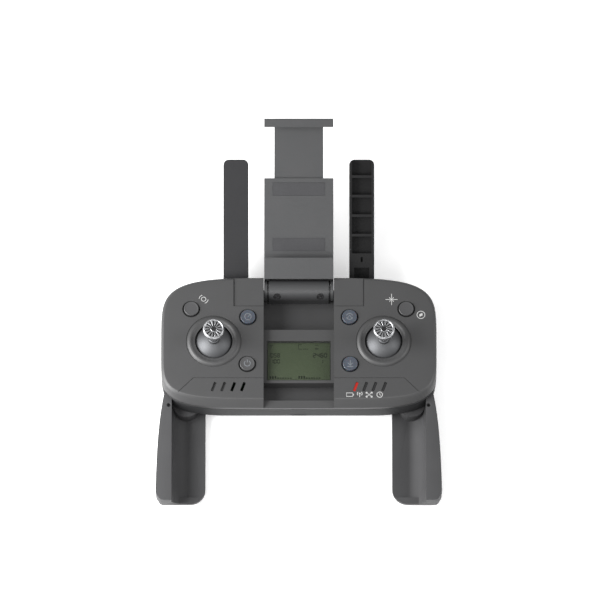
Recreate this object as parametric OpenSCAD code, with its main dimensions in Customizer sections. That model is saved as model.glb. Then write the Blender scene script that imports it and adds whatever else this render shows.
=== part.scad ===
// Hand-held radio transmitter for a camera drone: a flat rounded case with two
// sticks, six buttons and a display, two grips that fold under the case, two
// swing-up antennas and a phone clamp on a hinged arm. Drawn ready for use:
// grips down, antennas and clamp up, sticks centred, buttons out.
// Frame: +Z comes out of the face and the flat back lies on z = 0. +Y points to
// the phone clamp. The origin is the middle of the case, on its back face.
// Millimetres throughout.

/* [Case] */
// Width of the case across the face
case_w = 146.4; // [144:0.2:190]
// Length of the case from the grips' edge to the clamp's edge
case_l = 73.6; // [73:0.2:92]
// Height of the case from its back to its face
case_h = 26; // [26:0.1:34]
// Wall of both shells
wall = 2; // [1.6:0.1:2.4]
// Radius of the round edge at the back
back_r = 13; // [8:0.5:13]
// Width of the bevel along the face's front edge
bevel_w = 3.9; // [2.5:0.1:4.5]
// Height of that bevel
bevel_h = 3.7; // [2.5:0.1:4]
// Height of the top shell below the face
top_shell_h = 5.6; // [5.2:0.1:6.5]

/* [Middle channel] */
// Half of the width of the channel that the clamp folds into
channel_half = 18.7; // [18:0.1:20]
// Depth of the channel's floor below the face
channel_d = 4; // [3.6:0.1:4.4]
// Depth of the deep well, which takes the lower jaw
well_d = 16; // [15.8:0.1:16.4]
// Depth of the front well, which takes the upper jaw
front_well_d = 10.6; // [10.4:0.1:11.4]
// Width of the display window
display_w = 34; // [30:0.5:34]
// Length of the display window
display_l = 22.4; // [18:0.2:22.4]

/* [Sticks] */
// Distance of a stick from the case's side
stick_from_side = 28.1; // [27:0.1:30]
// Radius of the hole in the face round a stick
stick_hole_r = 9.9; // [9.6:0.1:10.2]
// Radius of the dome that fills that hole
dome_r = 12.1; // [11.8:0.1:12.3]
// Height of the finger cap's top above the face
cap_top = 18; // [15:0.5:22]
// Radius of the finger cap
cap_r = 5.74; // [4.8:0.02:6.4]
// Radius of the gimbal's pins
gimbal_pin_r = 1; // [0.8:0.05:1.2]
// Steel wire of the centring springs
gimbal_wire = 0.9; // [0.5:0.05:1]

/* [Buttons] */
// Radius of a button's cap
button_r = 3.95; // [3.4:0.05:4.2]
// How far a button stands above the face
button_proud = 0.9; // [0.7:0.1:1.6]
// Travel of a button
button_travel = 0.6; // [0.3:0.05:0.6]

/* [Grips] */
// Distance of a grip's pivot from the case's side
pivot_from_side = 13.2; // [13:0.1:14]
// Distance of a grip's pivot from the case's front edge
pivot_from_front = 6.8; // [6.8:0.1:7.4]
// Length of a grip beyond its pivot, less than the pivot's own x
grip_l = 58; // [48:0.5:58]
// Radius of the pivot screw's shoulder
pivot_r = 2.5; // [2:0.1:3]

/* [Clamp] */
// Angle of the clamp above the face when it is in use
clamp_tilt = 22; // [10:1:40]
// Length of the arm's plate from the hinge
arm_l = 59.8; // [58:0.1:61]
// Opening of the clamp, jaw to jaw
clamp_open = 71.7; // [60:0.1:78]
// Radius of the clamp's hinge pin
hinge_r = 2; // [1.5:0.1:2.4]
// Radius of the hinge barrel
barrel_r = 5.5; // [5:0.1:5.6]

/* [Antennas] */
// Distance of an antenna from the middle of the case
antenna_x = 33.5; // [32.8:0.1:34.5]
// Width of an antenna
antenna_w = 13.3; // [12:0.1:14]
// Thickness of an antenna
antenna_t = 6.4; // [5.6:0.1:6.6]
// Length of an antenna from its pin to its tip
antenna_l = 66; // [45:1:80]
// Radius of an antenna's hinge pin
antenna_pin_r = 1.1; // [0.8:0.05:1.3]

/* [Fits] */
// Radial clearance of a shaft or pin that turns in a bore
run_fit = 0.05; // [0.03:0.01:0.08]
// Clearance round a piece that sits or slides in a recess
seat_fit = 0.15; // [0.1:0.05:0.25]
// Clearance between pieces that swing past each other
swing_fit = 0.5; // [0.4:0.1:0.8]
// Gap round a stick's dome under the face
dome_fit = 1; // [0.6:0.1:1.2]

/* [Hidden] */

$fn = 48;
eps = 0.01;
half_w = case_w / 2;
half_l = case_l / 2;
face_z = case_h;
part_z = face_z - top_shell_h;           // where the two shells meet
floor_z = face_z - channel_d;            // the channel's floor
well_z = face_z - well_d;
front_well_z = face_z - front_well_d;
under_face = face_z - wall;

// The case's outline is a superellipse, rounder at the clamp's end.
outline_steps = 60;
clamp_end_power = 4.6;
front_end_power = 5.5;
edge_r = 1.2;                            // soft edge of the face at its sides and far end

// The middle channel
channel_wall = 1.6;
tub_half = channel_half + channel_wall;
well_y = half_l - 28.8;                  // front wall of the deep well
front_well_far = -half_l + 14.4;
front_well_near = -half_l + 4.4;
display_far = front_well_far + 1.6 + display_l;
display_near = front_well_far + 1.6;
rebate = 0.5;                            // ledge that the display window sits on
window_t = 0.8;

// Clamp hinge
hinge_y = half_l - 5.2;
hinge_z = face_z - 6.5;
block_half = 15.9;
arm_half = channel_half - 0.3;
cheek_in = arm_half - 1.5;
plate_top = -2.9;                        // heights are along the arm's own normal
plate_bottom = -7.6;
track_top = -4.2;
track_bottom = -6.2;
track_half = 13.2;
lower_jaw_near = 6.2;
lower_jaw_far = 16.2;
jaw_t = 3.6;
pad_t = 0.5;
pad_proud = 0.1;
slider_l = 51;
upper_jaw_a = lower_jaw_far + clamp_open;
slider_t = track_top - track_bottom - 2 * 0.05;

// Antennas
antenna_y = half_l + 1.7;
antenna_z = face_z - 13.5;
fork_gap = 8;
tongue_w = 7.2;
tongue_r = 2.2;

// Grips
pivot_x = half_w - pivot_from_side;
pivot_y = -half_l + pivot_from_front;
post_r = 7.1;
grip_top = face_z - 6;
grip_under = 0.5;
knuckle_r = 11;
knuckle_top = 10.2;
knuckle_clear = knuckle_top + 0.4;
flange_in = -7.4;                        // inner side of a grip's tall outer wall
trough_t = 1.6;                          // where the trough is deepest
trough_z = 3.2;
trough_edge_z = 14;                      // where the tall wall starts to curve
lip_t = 10.5;
lip_z = 5;
rim_z = 5.2;                             // top of the low wall across a grip's end

// Sticks
stick_x = half_w - stick_from_side;
pivot_z = face_z - 8.6;
dome_t = 0.7;
ring_out = 14.3;
ring_crest = 12.9;
ring_h = 0.9;
base_z = wall + 1;

// Buttons: [x, y]
outer_button = [half_w - 16.1, 18.4];
upper_button = [27, 13.8];
lower_button = [27.3, -13];
button_hole_r = button_r + 0.55;
flange_r = 4.9;
flange_z = under_face - 1.4;

// Boards
board_top = face_z - 13;
board_t = 1.6;
board_front = -half_l + 5.8;
board_posts = [[25.6, -14], [25.6, 15], [40, -half_l + 11.8], outer_button];
switch_h = 3.3;                          // with its plunger
stem_z = board_top + switch_h + button_travel + 0.1;

// Shell screws: [x, y]; the first keeps its place in the rounded corner
screw_at = [[0.847 * half_w, 0.7065 * half_l], [24, half_l - 9.8], [22, -half_l + 7.3]];
screw_r = 1.25;
screw_head_r = 2.4;
screw_head_z = 8;
boss_split = board_top + 0.5;

// Light pipes and slots: [x from the middle, opened through the face]
slot_w = 1.5;
slot_l = 5.4;
slot_lean = 20;
slot_y = -half_l + 10.8;
left_slots = [[-45.1, false], [-40, false], [-34.8, true], [-29.6, true]];
right_slots = [30.2, 35.2, 40.1, 45.3];
light_fit = 0.1;
blind_slot = 1.2;                        // depth of the two slots that only decorate

function outline(inset, front_inset) = [
    for (i = [0:outline_steps - 1])
        let (
            t = 360 * i / outline_steps,
            n = sin(t) >= 0 ? clamp_end_power : front_end_power,
            b = half_l - (sin(t) >= 0 ? inset : front_inset)
        )
        [
            (half_w - inset) * sign(cos(t)) * pow(abs(cos(t)), 2 / n),
            b * sign(sin(t)) * pow(abs(sin(t)), 2 / n)
        ]
];

// One closed body through rings of the outline, from the lowest up:
// [inset, height, inset at the front]
module loft(rings) {
    n = outline_steps;
    last = (len(rings) - 1) * n;
    polyhedron(
        [for (r = rings) for (p = outline(r[0], r[2])) [p[0], p[1], r[1]]],
        concat(
            [[for (i = [0:n - 1]) i]],
            [for (k = [0:len(rings) - 2], i = [0:n - 1], upper = [0, 1])
                let (a = k * n + i, b = k * n + (i + 1) % n)
                upper ? [a + n, b + n, b] : [a, a + n, b]],
            [[for (i = [n - 1:-1:0]) last + i]]
        )
    );
}

module bar(x, y, z) {
    translate([x[0], y[0], z[0]]) cube([x[1] - x[0], y[1] - y[0], z[1] - z[0]]);
}

// A cylinder along X from x[0] to x[1]
module axle(r, x) {
    translate([x[0], 0, 0]) rotate([0, 90, 0]) cylinder(r = r, h = x[1] - x[0]);
}

module ring(r_out, r_in, h) {
    difference() {
        cylinder(r = r_out, h = h);
        translate([0, 0, -1]) cylinder(r = r_in, h = h + 2);
    }
}

module both_sides() {
    for (s = [-1, 1]) scale_x(s) children();
}

module scale_x(s) {
    if (s > 0) children();
    else mirror([1, 0, 0]) children();
}

// ---- Shells ----

module top_outer() {
    loft([
        [0, part_z, 0], [0, face_z - bevel_h, 0], [0.02, face_z - bevel_h + 0.7, 0.3],
        [0.1, face_z - 1, 0.73 * bevel_w], [0.4, face_z - 0.4, bevel_w - 0.4],
        [edge_r, face_z, bevel_w + 0.2]
    ]);
}

module bottom_outer() {
    loft(concat(
        [for (q = [0:22.5:90]) let (i = back_r * (1 - sin(q))) [i, back_r * (1 - cos(q)), i]],
        [[0, part_z, 0]]
    ));
}

module bottom_inner() {
    r = back_r - wall;
    difference() {
        loft(concat(
            [for (q = [0:22.5:90])
                let (i = wall + r * (1 - sin(q))) [i, wall + r * (1 - cos(q)), i]],
            [[wall, part_z + 1, wall]]
        ));
        // thick floor over the pocket for the folded grips
        bar([-half_w, half_w], [-half_l, pocket_back + wall], [0, pocket_z + wall]);
        both_sides() translate([pivot_x, pivot_y, 0])
            cylinder(r = knuckle_r + swing_fit + wall, h = knuckle_clear + wall);
    }
}

pocket_back = pivot_y + lip_t + swing_fit;
pocket_z = rim_z + swing_fit;

// Room under the case for the folded grips: their own section plus the clearance
module grip_pocket() {
    rx = trough_t - flange_in - swing_fit;
    rz = trough_edge_z - trough_z - swing_fit;
    y0 = pivot_y + trough_t;
    rotate([90, 0, 90]) translate([0, 0, -half_w - 1])
        linear_extrude(case_w + 2)
            polygon(concat(
                [[pocket_back, -1], [-half_l - 5, -1], [-half_l - 5, trough_edge_z]],
                [for (q = [0:10:90]) [y0 - rx * cos(q), max(trough_edge_z - rz * sin(q), pocket_z)]],
                [[pocket_back, pocket_z]]
            ));
}

module boss(r, z) {
    both_sides() for (p = screw_at) translate([p[0], p[1], z[0]]) cylinder(r = r, h = z[1] - z[0]);
}

module tub(grow) {
    bar([-tub_half - grow, tub_half + grow], [well_y - channel_wall - grow, half_l + 5],
        [well_z - 1.4 - grow, part_z + eps]);
}

module stick_ring() {
    low = -1.2;
    rotate_extrude()
        polygon([
            [stick_hole_r, low], [stick_hole_r, 0.5], [ring_crest - 1.3, 0.7],
            [ring_crest - 0.7, ring_h], [ring_crest, ring_h], [ring_crest + 0.8, 0.55],
            [ring_out, 0], [ring_out, low]
        ]);
}

module slot(x, z) {
    translate([x, slot_y, z[0]]) rotate(-slot_lean)
        translate([-slot_w / 2, -slot_l / 2, 0]) cube([slot_w, slot_l, z[1] - z[0]]);
}

module face_buttons() {
    for (s = [-1, 1]) for (p = [outer_button, upper_button, lower_button])
        translate([s * p[0], p[1], 0]) children();
}

module top_shell() {
    color("#66666a")
    difference() {
        union() {
            difference() {
                top_outer();
                loft([
                    [wall, part_z - 1, wall], [wall, face_z - bevel_h - 0.3, wall],
                    [wall + 0.3, under_face, bevel_w + 1.2]
                ]);
            }
            both_sides() translate([stick_x, 0, face_z]) stick_ring();
            // walls and floor of the channel
            both_sides()
                bar([channel_half, tub_half], [-half_l + 1.6, half_l - 1.6], [part_z, under_face + eps]);
            bar([-tub_half, tub_half], [-half_l + 1, well_y], [part_z, floor_z]);
            // deep well
            bar([-tub_half, tub_half], [well_y - channel_wall, half_l - 1.2],
                [well_z - 1.4, part_z + eps]);
            // front well
            bar([-tub_half, tub_half], [front_well_near - 1.2, front_well_far + 1.2],
                [front_well_z - 1.4, part_z + eps]);
            boss(2.8, [boss_split + 0.2, under_face + eps]);
            face_buttons() translate([0, 0, under_face - 0.9])
                cylinder(r = button_hole_r + 1.2, h = 1);
        }
        // the channel and its wells
        bar([-channel_half, channel_half], [-case_l, case_l], [floor_z, case_h + 5]);
        bar([-channel_half - 0.2, channel_half + 0.2], [well_y, case_l], [well_z, case_h + 5]);
        bar([-channel_half, channel_half], [front_well_near, front_well_far],
            [front_well_z, case_h]);
        // display
        bar([-display_w / 2 + rebate, display_w / 2 - rebate],
            [display_near + rebate, display_far - rebate], [part_z - 1, case_h]);
        bar([-display_w / 2, display_w / 2], [display_near, display_far],
            [floor_z - window_t - 0.1, case_h]);
        // finger notch in the front edge
        translate([0, -half_l, part_z - 1]) cylinder(r = 3.7, h = 1.4);
        both_sides() {
            translate([stick_x, 0, face_z - 6]) cylinder(r = stick_hole_r, h = 12);
            translate([stick_x, 0, pivot_z]) sphere(r = dome_r + dome_fit);
            // flat panels beside the arm
            bar([channel_half - 1, channel_half + 15.8], [half_l - 16.6, case_l], [face_z - 0.7, case_h + 5]);
        }
        face_buttons() translate([0, 0, under_face - 2]) cylinder(r = button_hole_r, h = 5);
        face_buttons() translate([0, 0, under_face - 2])
            cylinder(r = flange_r + 0.25, h = 2 - 0.2);
        for (s = left_slots) slot(s[0], [s[1] ? part_z : face_z - blind_slot, face_z + 1]);
        for (x = right_slots) slot(x, [part_z, face_z + 1]);
        // pilot holes
        both_sides() for (p = screw_at) translate([p[0], p[1], boss_split - 1])
            cylinder(r = screw_r, h = under_face - boss_split);
        both_sides() antenna_room();
    }
}

module antenna_room() {
    translate([antenna_x, antenna_y, antenna_z])
        axle(antenna_t / 2 + swing_fit, [-antenna_w / 2 - swing_fit, antenna_w / 2 + swing_fit]);
}

module bottom_shell() {
    color("#626266")
    difference() {
        union() {
            difference() {
                bottom_outer();
                bottom_inner();
            }
            intersection() {
                bottom_outer();
                union() {
                    both_sides() translate([pivot_x, pivot_y, wall]) cylinder(r = post_r, h = part_z - wall);
                    boss(3.2, [1, boss_split]);
                    inner_posts();
                    // walls behind the antennas' hinges
                    both_sides() bar([antenna_x - 8.6, antenna_x + 8.6], [half_l - 6.3, half_l],
                        [antenna_z - 7, antenna_z + 7]);
                }
            }
            antenna_tongues();
        }
        grip_pocket();
        both_sides() grip_room();
        both_sides() translate([pivot_x, pivot_y, 0]) cylinder(r = pivot_r, h = 18);
        both_sides() for (p = screw_at) {
            translate([p[0], p[1], -1]) cylinder(r = screw_head_r + 0.2, h = screw_head_z + 1);
            translate([p[0], p[1], 0]) cylinder(r = screw_r + 0.25, h = case_h);
        }
        tub(0.2);
        both_sides() antenna_forks_room();
        // charging port
        bar([-port_half, port_half], [-case_l, -half_l + 3], [port_z, port_z + port_h]);
        // slots for the speaker
        for (i = [-2:2]) translate([-speaker_x + i * 2.6, speaker_y, -1])
            rounded_slot(1.2, 7 - abs(i) * 0.9, wall + 2);
    }
}

port_z = face_z - 15.4;
port_half = 3.7;
port_h = 2.6;
speaker_x = 0;
speaker_y = well_y + 4;

module rounded_slot(w, l, h) {
    for (s = [-1, 1]) translate([0, s * (l - w) / 2, 0]) cylinder(d = w, h = h);
    translate([-w / 2, -(l - w) / 2, 0]) cube([w, l - w, h]);
}

// Posts under the gimbals' feet and under the boards
module inner_posts() {
    foot = wall - 0.5;
    both_sides() {
        for (x = [-1, 1], y = [-1, 1]) translate([stick_x + x * 9, y * 9, foot])
            cylinder(r = 2, h = base_z - foot);
        for (p = board_posts) translate([p[0], p[1], foot])
            cylinder(r = 1.6, h = board_top - board_t - foot);
    }
}

// Room for a grip's tall wall, at rest and on its way round the pivot post
module grip_room() {
    reach = 20;
    translate([pivot_x, pivot_y, 0]) {
        difference() {
            translate([0, -reach, -1]) cube([reach, reach, part_z + 1 + eps]);
            translate([0, 0, -2]) cylinder(r = post_r, h = case_h);
        }
        bar([post_r, reach], [-reach, 4.8], [-1, part_z + eps]);
        translate([0, 0, -1]) cylinder(r = knuckle_r + swing_fit, h = knuckle_clear + 1);
    }
}

module antenna_forks_room() {
    difference() {
        antenna_room();
        translate([antenna_x - tongue_w / 2, antenna_y - 10, antenna_z - 10]) cube([tongue_w, 20, 20]);
    }
    translate([antenna_x, antenna_y, antenna_z])
        axle(antenna_pin_r, [-antenna_w, antenna_w]);
}

module antenna_tongues() {
    both_sides() translate([antenna_x, antenna_y, antenna_z]) {
        axle(tongue_r, [-tongue_w / 2, tongue_w / 2]);
        bar([-tongue_w / 2, tongue_w / 2], [-5, 0], [-tongue_r, tongue_r]);
    }
}

module shell_screws() {
    color("#2b2b2d")
    both_sides() for (p = screw_at) translate([p[0], p[1], 0]) difference() {
        union() {
            translate([0, 0, screw_head_z - 1.8]) cylinder(r = screw_head_r, h = 1.8);
            translate([0, 0, screw_head_z - 0.1]) cylinder(r = screw_r - 0.02, h = face_z - screw_head_z - 4);
        }
        for (a = [0, 90]) translate([0, 0, screw_head_z - 1.9]) rotate(a)
            translate([-1.3, -0.25, 0]) cube([2.6, 0.5, 1]);
    }
}

// ---- Display and boards ----

module display_window() {
    color("#4d5346")
    bar([-display_w / 2 + seat_fit, display_w / 2 - seat_fit],
        [display_near + seat_fit, display_far - seat_fit],
        [floor_z - window_t - 0.1, floor_z - 0.1]);
}

module display_glass() {
    color("#59604d")
    bar([-display_w / 2 - 1, display_w / 2 + 1], [display_near - 0.3, display_far + 1.2],
        [part_z - 2.8, part_z - 0.2]);
}

module display_backlight() {
    color("#d8dcd2")
    bar([-display_w / 2, display_w / 2], [display_near, display_far], [board_top, part_z - 2.8]);
}

module screw_clear(z, h) {
    both_sides() for (p = screw_at) translate([p[0], p[1], z]) cylinder(r = 3.6, h = h);
}

module main_board() {
    z = [board_top - board_t, board_top];
    color("#2f5b3c")
    difference() {
        union() {
            bar([-stick_x - 3.9, stick_x + 3.9], [board_front, -13.6], z);
            bar([-28.5, 28.5], [-20, well_y - channel_wall - 0.4], z);
            both_sides() bar([tub_half + 0.4, 30.6], [-20, half_l - 14], z);
        }
        screw_clear(z[0] - 1, board_t + 2);
        both_sides() translate([stick_x, 0, z[0] - 1]) cylinder(r = ring_out + 0.4, h = board_t + 2);
        both_sides() translate([pivot_x, pivot_y, z[0] - 1]) cylinder(r = knuckle_r + 3.4, h = board_t + 2);
        both_sides() translate([stick_x - 16, -12, z[0] - 1]) cube([32, 24, board_t + 2]);
        bar([-port_half - 0.4, port_half + 0.4], [-case_l, -half_l + 7], [z[0] - 1, z[1] + 1]);
    }
}

module button_boards() {
    color("#2f5b3c")
    both_sides()
        bar([outer_button[0] - 5.2, outer_button[0] + 5.2],
            [outer_button[1] - 4.4, outer_button[1] + 4],
            [board_top - board_t, board_top]);
}

module tact_switches() {
    color("#303236")
    face_buttons() {
        translate([-3, -3, board_top]) cube([6, 6, switch_h - 0.3]);
        translate([0, 0, board_top + switch_h - 0.3 - eps]) cylinder(r = 1.7, h = 0.3 + eps);
    }
}

module led_chips() {
    color("#efe7c8")
    for (x = right_slots) translate([x - 0.8, slot_y - 0.6, board_top]) cube([1.6, 1.2, 0.9]);
}

module status_light_pipes() {
    color("#8d4a44")
    for (x = right_slots) translate([x, slot_y, board_top + 1.2]) rotate(-slot_lean)
        translate([-slot_w / 2 + light_fit, -slot_l / 2 + light_fit, 0])
            cube([slot_w - 2 * light_fit, slot_l - 2 * light_fit, face_z - 0.3 - board_top - 1.2]);
}

module usb_socket() {
    color("#b9bbbd")
    difference() {
        bar([-port_half + 0.1, port_half - 0.1], [-half_l + 0.8, -half_l + 6.6],
            [port_z + 0.05, port_z + port_h - 0.05]);
        bar([-port_half + 0.6, port_half - 0.6], [-half_l + 0.5, -half_l + 5.4],
            [port_z + 0.5, port_z + port_h - 0.5]);
    }
}

module battery_pack() {
    color("#3a5a8c")
    bar([-23, 23], [pocket_back + wall + 0.7, well_y - 2.7], [wall, board_top - board_t - 1]);
}

module speaker() {
    color("#222224")
    translate([speaker_x, speaker_y, wall]) cylinder(r = 6.5, h = 4.2);
}

module radio_module() {
    color("#23402f")
    bar([24, 28.4], [-9, 6], [board_top - board_t - 3, board_top - board_t]);
}

// ---- Buttons ----

// A round button with a flange that stops it under the face
module button(p, tint) {
    color(tint)
    translate([p[0], p[1], 0]) {
        translate([0, 0, flange_z]) cylinder(r = button_r, h = face_z + button_proud - flange_z - 0.5);
        translate([0, 0, face_z + button_proud - 0.5])
            cylinder(r1 = button_r, r2 = button_r - 0.5, h = 0.5);
        translate([0, 0, flange_z]) cylinder(r = flange_r, h = 1);
        translate([0, 0, stem_z]) cylinder(r = 1.5, h = flange_z - stem_z + eps);
    }
}

module left_photo_button() button([-outer_button[0], outer_button[1]], "#66666a");
module left_speed_button() button([-upper_button[0], upper_button[1]], "#70747c");
module power_button() button([-lower_button[0], lower_button[1]], "#69696c");
module right_video_button() button(outer_button, "#66666a");
module right_flip_button() button(upper_button, "#70747c");
module right_land_button() button(lower_button, "#70747c");

// ---- Sticks ----

upright_in = 7.4;
upright_t = 1.8;
frame_x = 5.8;
frame_y = 8;
frame_t = 2;
frame_h = 2.4;
hub_r = 3.6;
pot_r = 2.6;

module at_stick(side) {
    translate([side * stick_x, 0, pivot_z]) children();
}

module gimbal_base(side) {
    color("#3b3b3e")
    at_stick(side) difference() {
        union() {
            bar([-11.5, 11.5], [-11.5, 11.5], [base_z - pivot_z, -7.9]);
            for (s = [-1, 1]) {
                a = s > 0 ? upright_in : -upright_in - upright_t;
                bar([a, a + upright_t], [-2.5, 2.5], [-8, 0]);
                axle(2.5, [a, a + upright_t]);
            }
        }
        axle(gimbal_pin_r + run_fit, [-12, 12]);
    }
}

module gimbal_frame(side) {
    color("#77797c")
    at_stick(side) {
        difference() {
            bar([-frame_x, frame_x], [-frame_y, frame_y], [-frame_h, frame_h]);
            bar([-frame_x + frame_t, frame_x - frame_t], [-frame_y + frame_t, frame_y - frame_t], [-5, 5]);
            rotate(90) axle(gimbal_pin_r + run_fit, [-12, 12]);
        }
        axle(gimbal_pin_r, [frame_x - eps, upright_in + upright_t + 1]);
        axle(gimbal_pin_r, [-upright_in - upright_t - 0.2, -frame_x + eps]);
    }
}

// The stick: a hub with its own pins, and the rod up to the finger cap
module stick_shaft(side) {
    hub_half = 4.4;
    color("#8f9194")
    at_stick(side) {
        rotate(90) axle(hub_r, [-hub_half, hub_half]);
        rotate(90) axle(gimbal_pin_r, [-frame_y - 0.3, frame_y + 1.4]);
        cylinder(r = 2.2, h = face_z + cap_top - 3 - pivot_z);
    }
}

module stick_dome(side) {
    low = dome_r * cos(75);
    color("#9a9ca0")
    at_stick(side) difference() {
        union() {
            difference() {
                sphere(r = dome_r);
                sphere(r = dome_r - dome_t);
                translate([-20, -20, low - 40]) cube([40, 40, 40]);
            }
            translate([0, 0, dome_r - 4]) cylinder(r = 3.2, h = 4.4);
        }
        translate([0, 0, -1]) cylinder(r = 2.2, h = 20);
    }
}

module stick_cap(side) {
    top = face_z + cap_top - pivot_z;
    teeth = 14;
    color("#b4b6b9")
    at_stick(side) difference() {
        union() {
            translate([0, 0, top - 8.6]) cylinder(r1 = 2.9, r2 = cap_r - 0.6, h = 4.4);
            translate([0, 0, top - 4.2]) cylinder(r1 = cap_r - 0.6, r2 = cap_r, h = 0.6);
            translate([0, 0, top - 3.6 - eps]) cylinder(r = cap_r, h = 2.6);
            translate([0, 0, top - 1 - eps]) cylinder(r1 = cap_r, r2 = cap_r - 0.9, h = 1);
        }
        translate([0, 0, -1]) cylinder(r = 2.2, h = top - 2);
        // ring of teeth in the top
        for (i = [0:teeth - 1]) rotate(360 * (i + 0.5) / teeth)
            translate([1.7, -0.35, top - 0.9]) cube([2.6, 0.7, 2]);
    }
}

module pitch_pot(side) {
    color("#2a5f8e")
    at_stick(side) difference() {
        axle(pot_r, [upright_in + upright_t + 0.1, upright_in + upright_t + 1.6]);
        axle(gimbal_pin_r + run_fit, [0, 12]);
    }
}

module roll_pot(side) {
    color("#2a5f8e")
    at_stick(side) rotate(90) difference() {
        axle(pot_r, [frame_y + 0.1, frame_y + 2]);
        axle(gimbal_pin_r + run_fit, [0, 12]);
    }
}

module spring_ring() {
    rotate([0, 90, 0]) rotate_extrude() translate([1.9, 0]) circle(d = gimbal_wire);
}

module gimbal_springs(side) {
    color("#c5c7c9")
    at_stick(side) for (s = [-1, 1]) translate([s * (frame_x + upright_in) / 2, 0, 0]) spring_ring();
}

module left_gimbal_base() gimbal_base(-1);
module left_gimbal_frame() gimbal_frame(-1);
module left_stick_shaft() stick_shaft(-1);
module left_stick_dome() stick_dome(-1);
module left_stick_cap() stick_cap(-1);
module left_pitch_pot() pitch_pot(-1);
module left_roll_pot() roll_pot(-1);
module left_springs() gimbal_springs(-1);
module right_gimbal_base() gimbal_base(1);
module right_gimbal_frame() gimbal_frame(1);
module right_stick_shaft() stick_shaft(1);
module right_stick_dome() stick_dome(1);
module right_stick_cap() stick_cap(1);
module right_pitch_pot() pitch_pot(1);
module right_roll_pot() roll_pot(1);
module right_springs() gimbal_springs(1);

// ---- Grips ----
// A grip is drawn for the left side, from its pivot: x across, and -y along it.

end_slope = 13;                          // lean of a grip's end face
grip_end = -grip_l;

function grip_edge(s) = -11 - 5.3 * (1 - exp(-(s + 4.5) / 24));

// Outer edge by formula, a chamfered outer corner and a round inner one
module grip_plan() {
    corner = 8;
    polygon(concat(
        [for (s = [-4.5:6:grip_l - 4]) [grip_edge(s), -s]],
        [[grip_edge(grip_l) + 0.3, grip_end + 3.6], [grip_edge(grip_l) + 2.6, grip_end]],
        [for (q = [0:15:90]) [lip_t - corner + corner * sin(q), grip_end + corner - corner * cos(q)]],
        [[lip_t, 4.5]]
    ));
}

module grip_section() {
    rx = trough_t - flange_in;
    rz = trough_edge_z - trough_z;
    polygon(concat(
        [[-20, grip_under], [-20, grip_top], [flange_in, grip_top]],
        [for (q = [0:10:90]) [trough_t - rx * cos(q), trough_edge_z - rz * sin(q)]],
        [[lip_t, lip_z], [lip_t + 1, lip_z], [lip_t + 1, grip_under]]
    ));
}

module grip_body() {
    rim_t = 2.6;
    leaned_end = grip_l - 4.5;
    difference() {
        intersection() {
            translate([0, 0, grip_under]) linear_extrude(grip_top) grip_plan();
            // leaning end face with the plan's own corners
            union() {
                translate([0, grip_end, grip_top]) rotate([end_slope, 0, 0])
                    translate([0, -grip_end, -40]) linear_extrude(60) grip_plan();
                bar([-30, 30], [grip_end + 12.5, 30], [-1, case_h]);
            }
            union() {
                rotate([90, 0, 0]) translate([0, 0, -12]) linear_extrude(grip_l + 20) grip_section();
                // low wall across the end of the trough
                bar([flange_in - 1, lip_t], [-leaned_end - 4, -leaned_end + rim_t], [grip_under, rim_z]);
            }
        }
        // under the case there are only the tall wall, the lip and a disc round the pivot
        difference() {
            union() {
                bar([flange_in, 20], [-half_l - pivot_y - 0.4, 20], [rim_z, case_h]);
                bar([flange_in, 20], [-3, 20], [-1, case_h]);
            }
            cylinder(r = knuckle_r, h = case_h);
        }
        translate([0, 0, knuckle_top]) cylinder(r = post_r + 0.3, h = case_h);
        bar([flange_in, 20], [-1.5, 20], [knuckle_top, case_h]);
        // moulded hollows in the tall wall, open at the back
        for (i = [0:3]) bar([-13.2, -9.4], [-19.5 - i * 9.6, -11.5 - i * 9.6], [-1, grip_top - 2.4]);
        // pivot screw and its head
        translate([0, 0, -1]) cylinder(r = pivot_r + run_fit, h = case_h);
        translate([0, 0, -1]) cylinder(r = 4.6, h = 4.6);
        // small screw in the tall wall
        translate([-8.6, -4, grip_top - 2]) cylinder(r = 1, h = 4);
    }
}

module grip_tongue() {
    difference() {
        translate([0, 0, grip_under + 2.9]) cylinder(r = 7, h = knuckle_top - grip_under - 2.9);
        translate([0, 0, -1]) cylinder(r = pivot_r + run_fit, h = case_h);
    }
}

module grip() {
    grip_body();
    grip_tongue();
}

module left_grip() {
    color("#606063") translate([-pivot_x, pivot_y, 0]) grip();
}

module right_grip() {
    color("#606063") mirror([1, 0, 0]) translate([-pivot_x, pivot_y, 0]) grip();
}

module grip_pivot_screws() {
    color("#8d8f92")
    both_sides() translate([pivot_x, pivot_y, 0]) difference() {
        union() {
            translate([0, 0, 1.2]) cylinder(r = 4.3, h = 2.1);
            translate([0, 0, 3.2]) cylinder(r = pivot_r, h = 14.6);
        }
        for (a = [0, 90]) translate([0, 0, 0]) rotate(a) translate([-2, -0.35, 1]) cube([4, 0.7, 1.2]);
    }
}

// ---- Antennas ----

module antenna_at(side) {
    translate([side * antenna_x, antenna_y, antenna_z]) rotate([clamp_tilt, 0, 0]) children();
}

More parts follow.
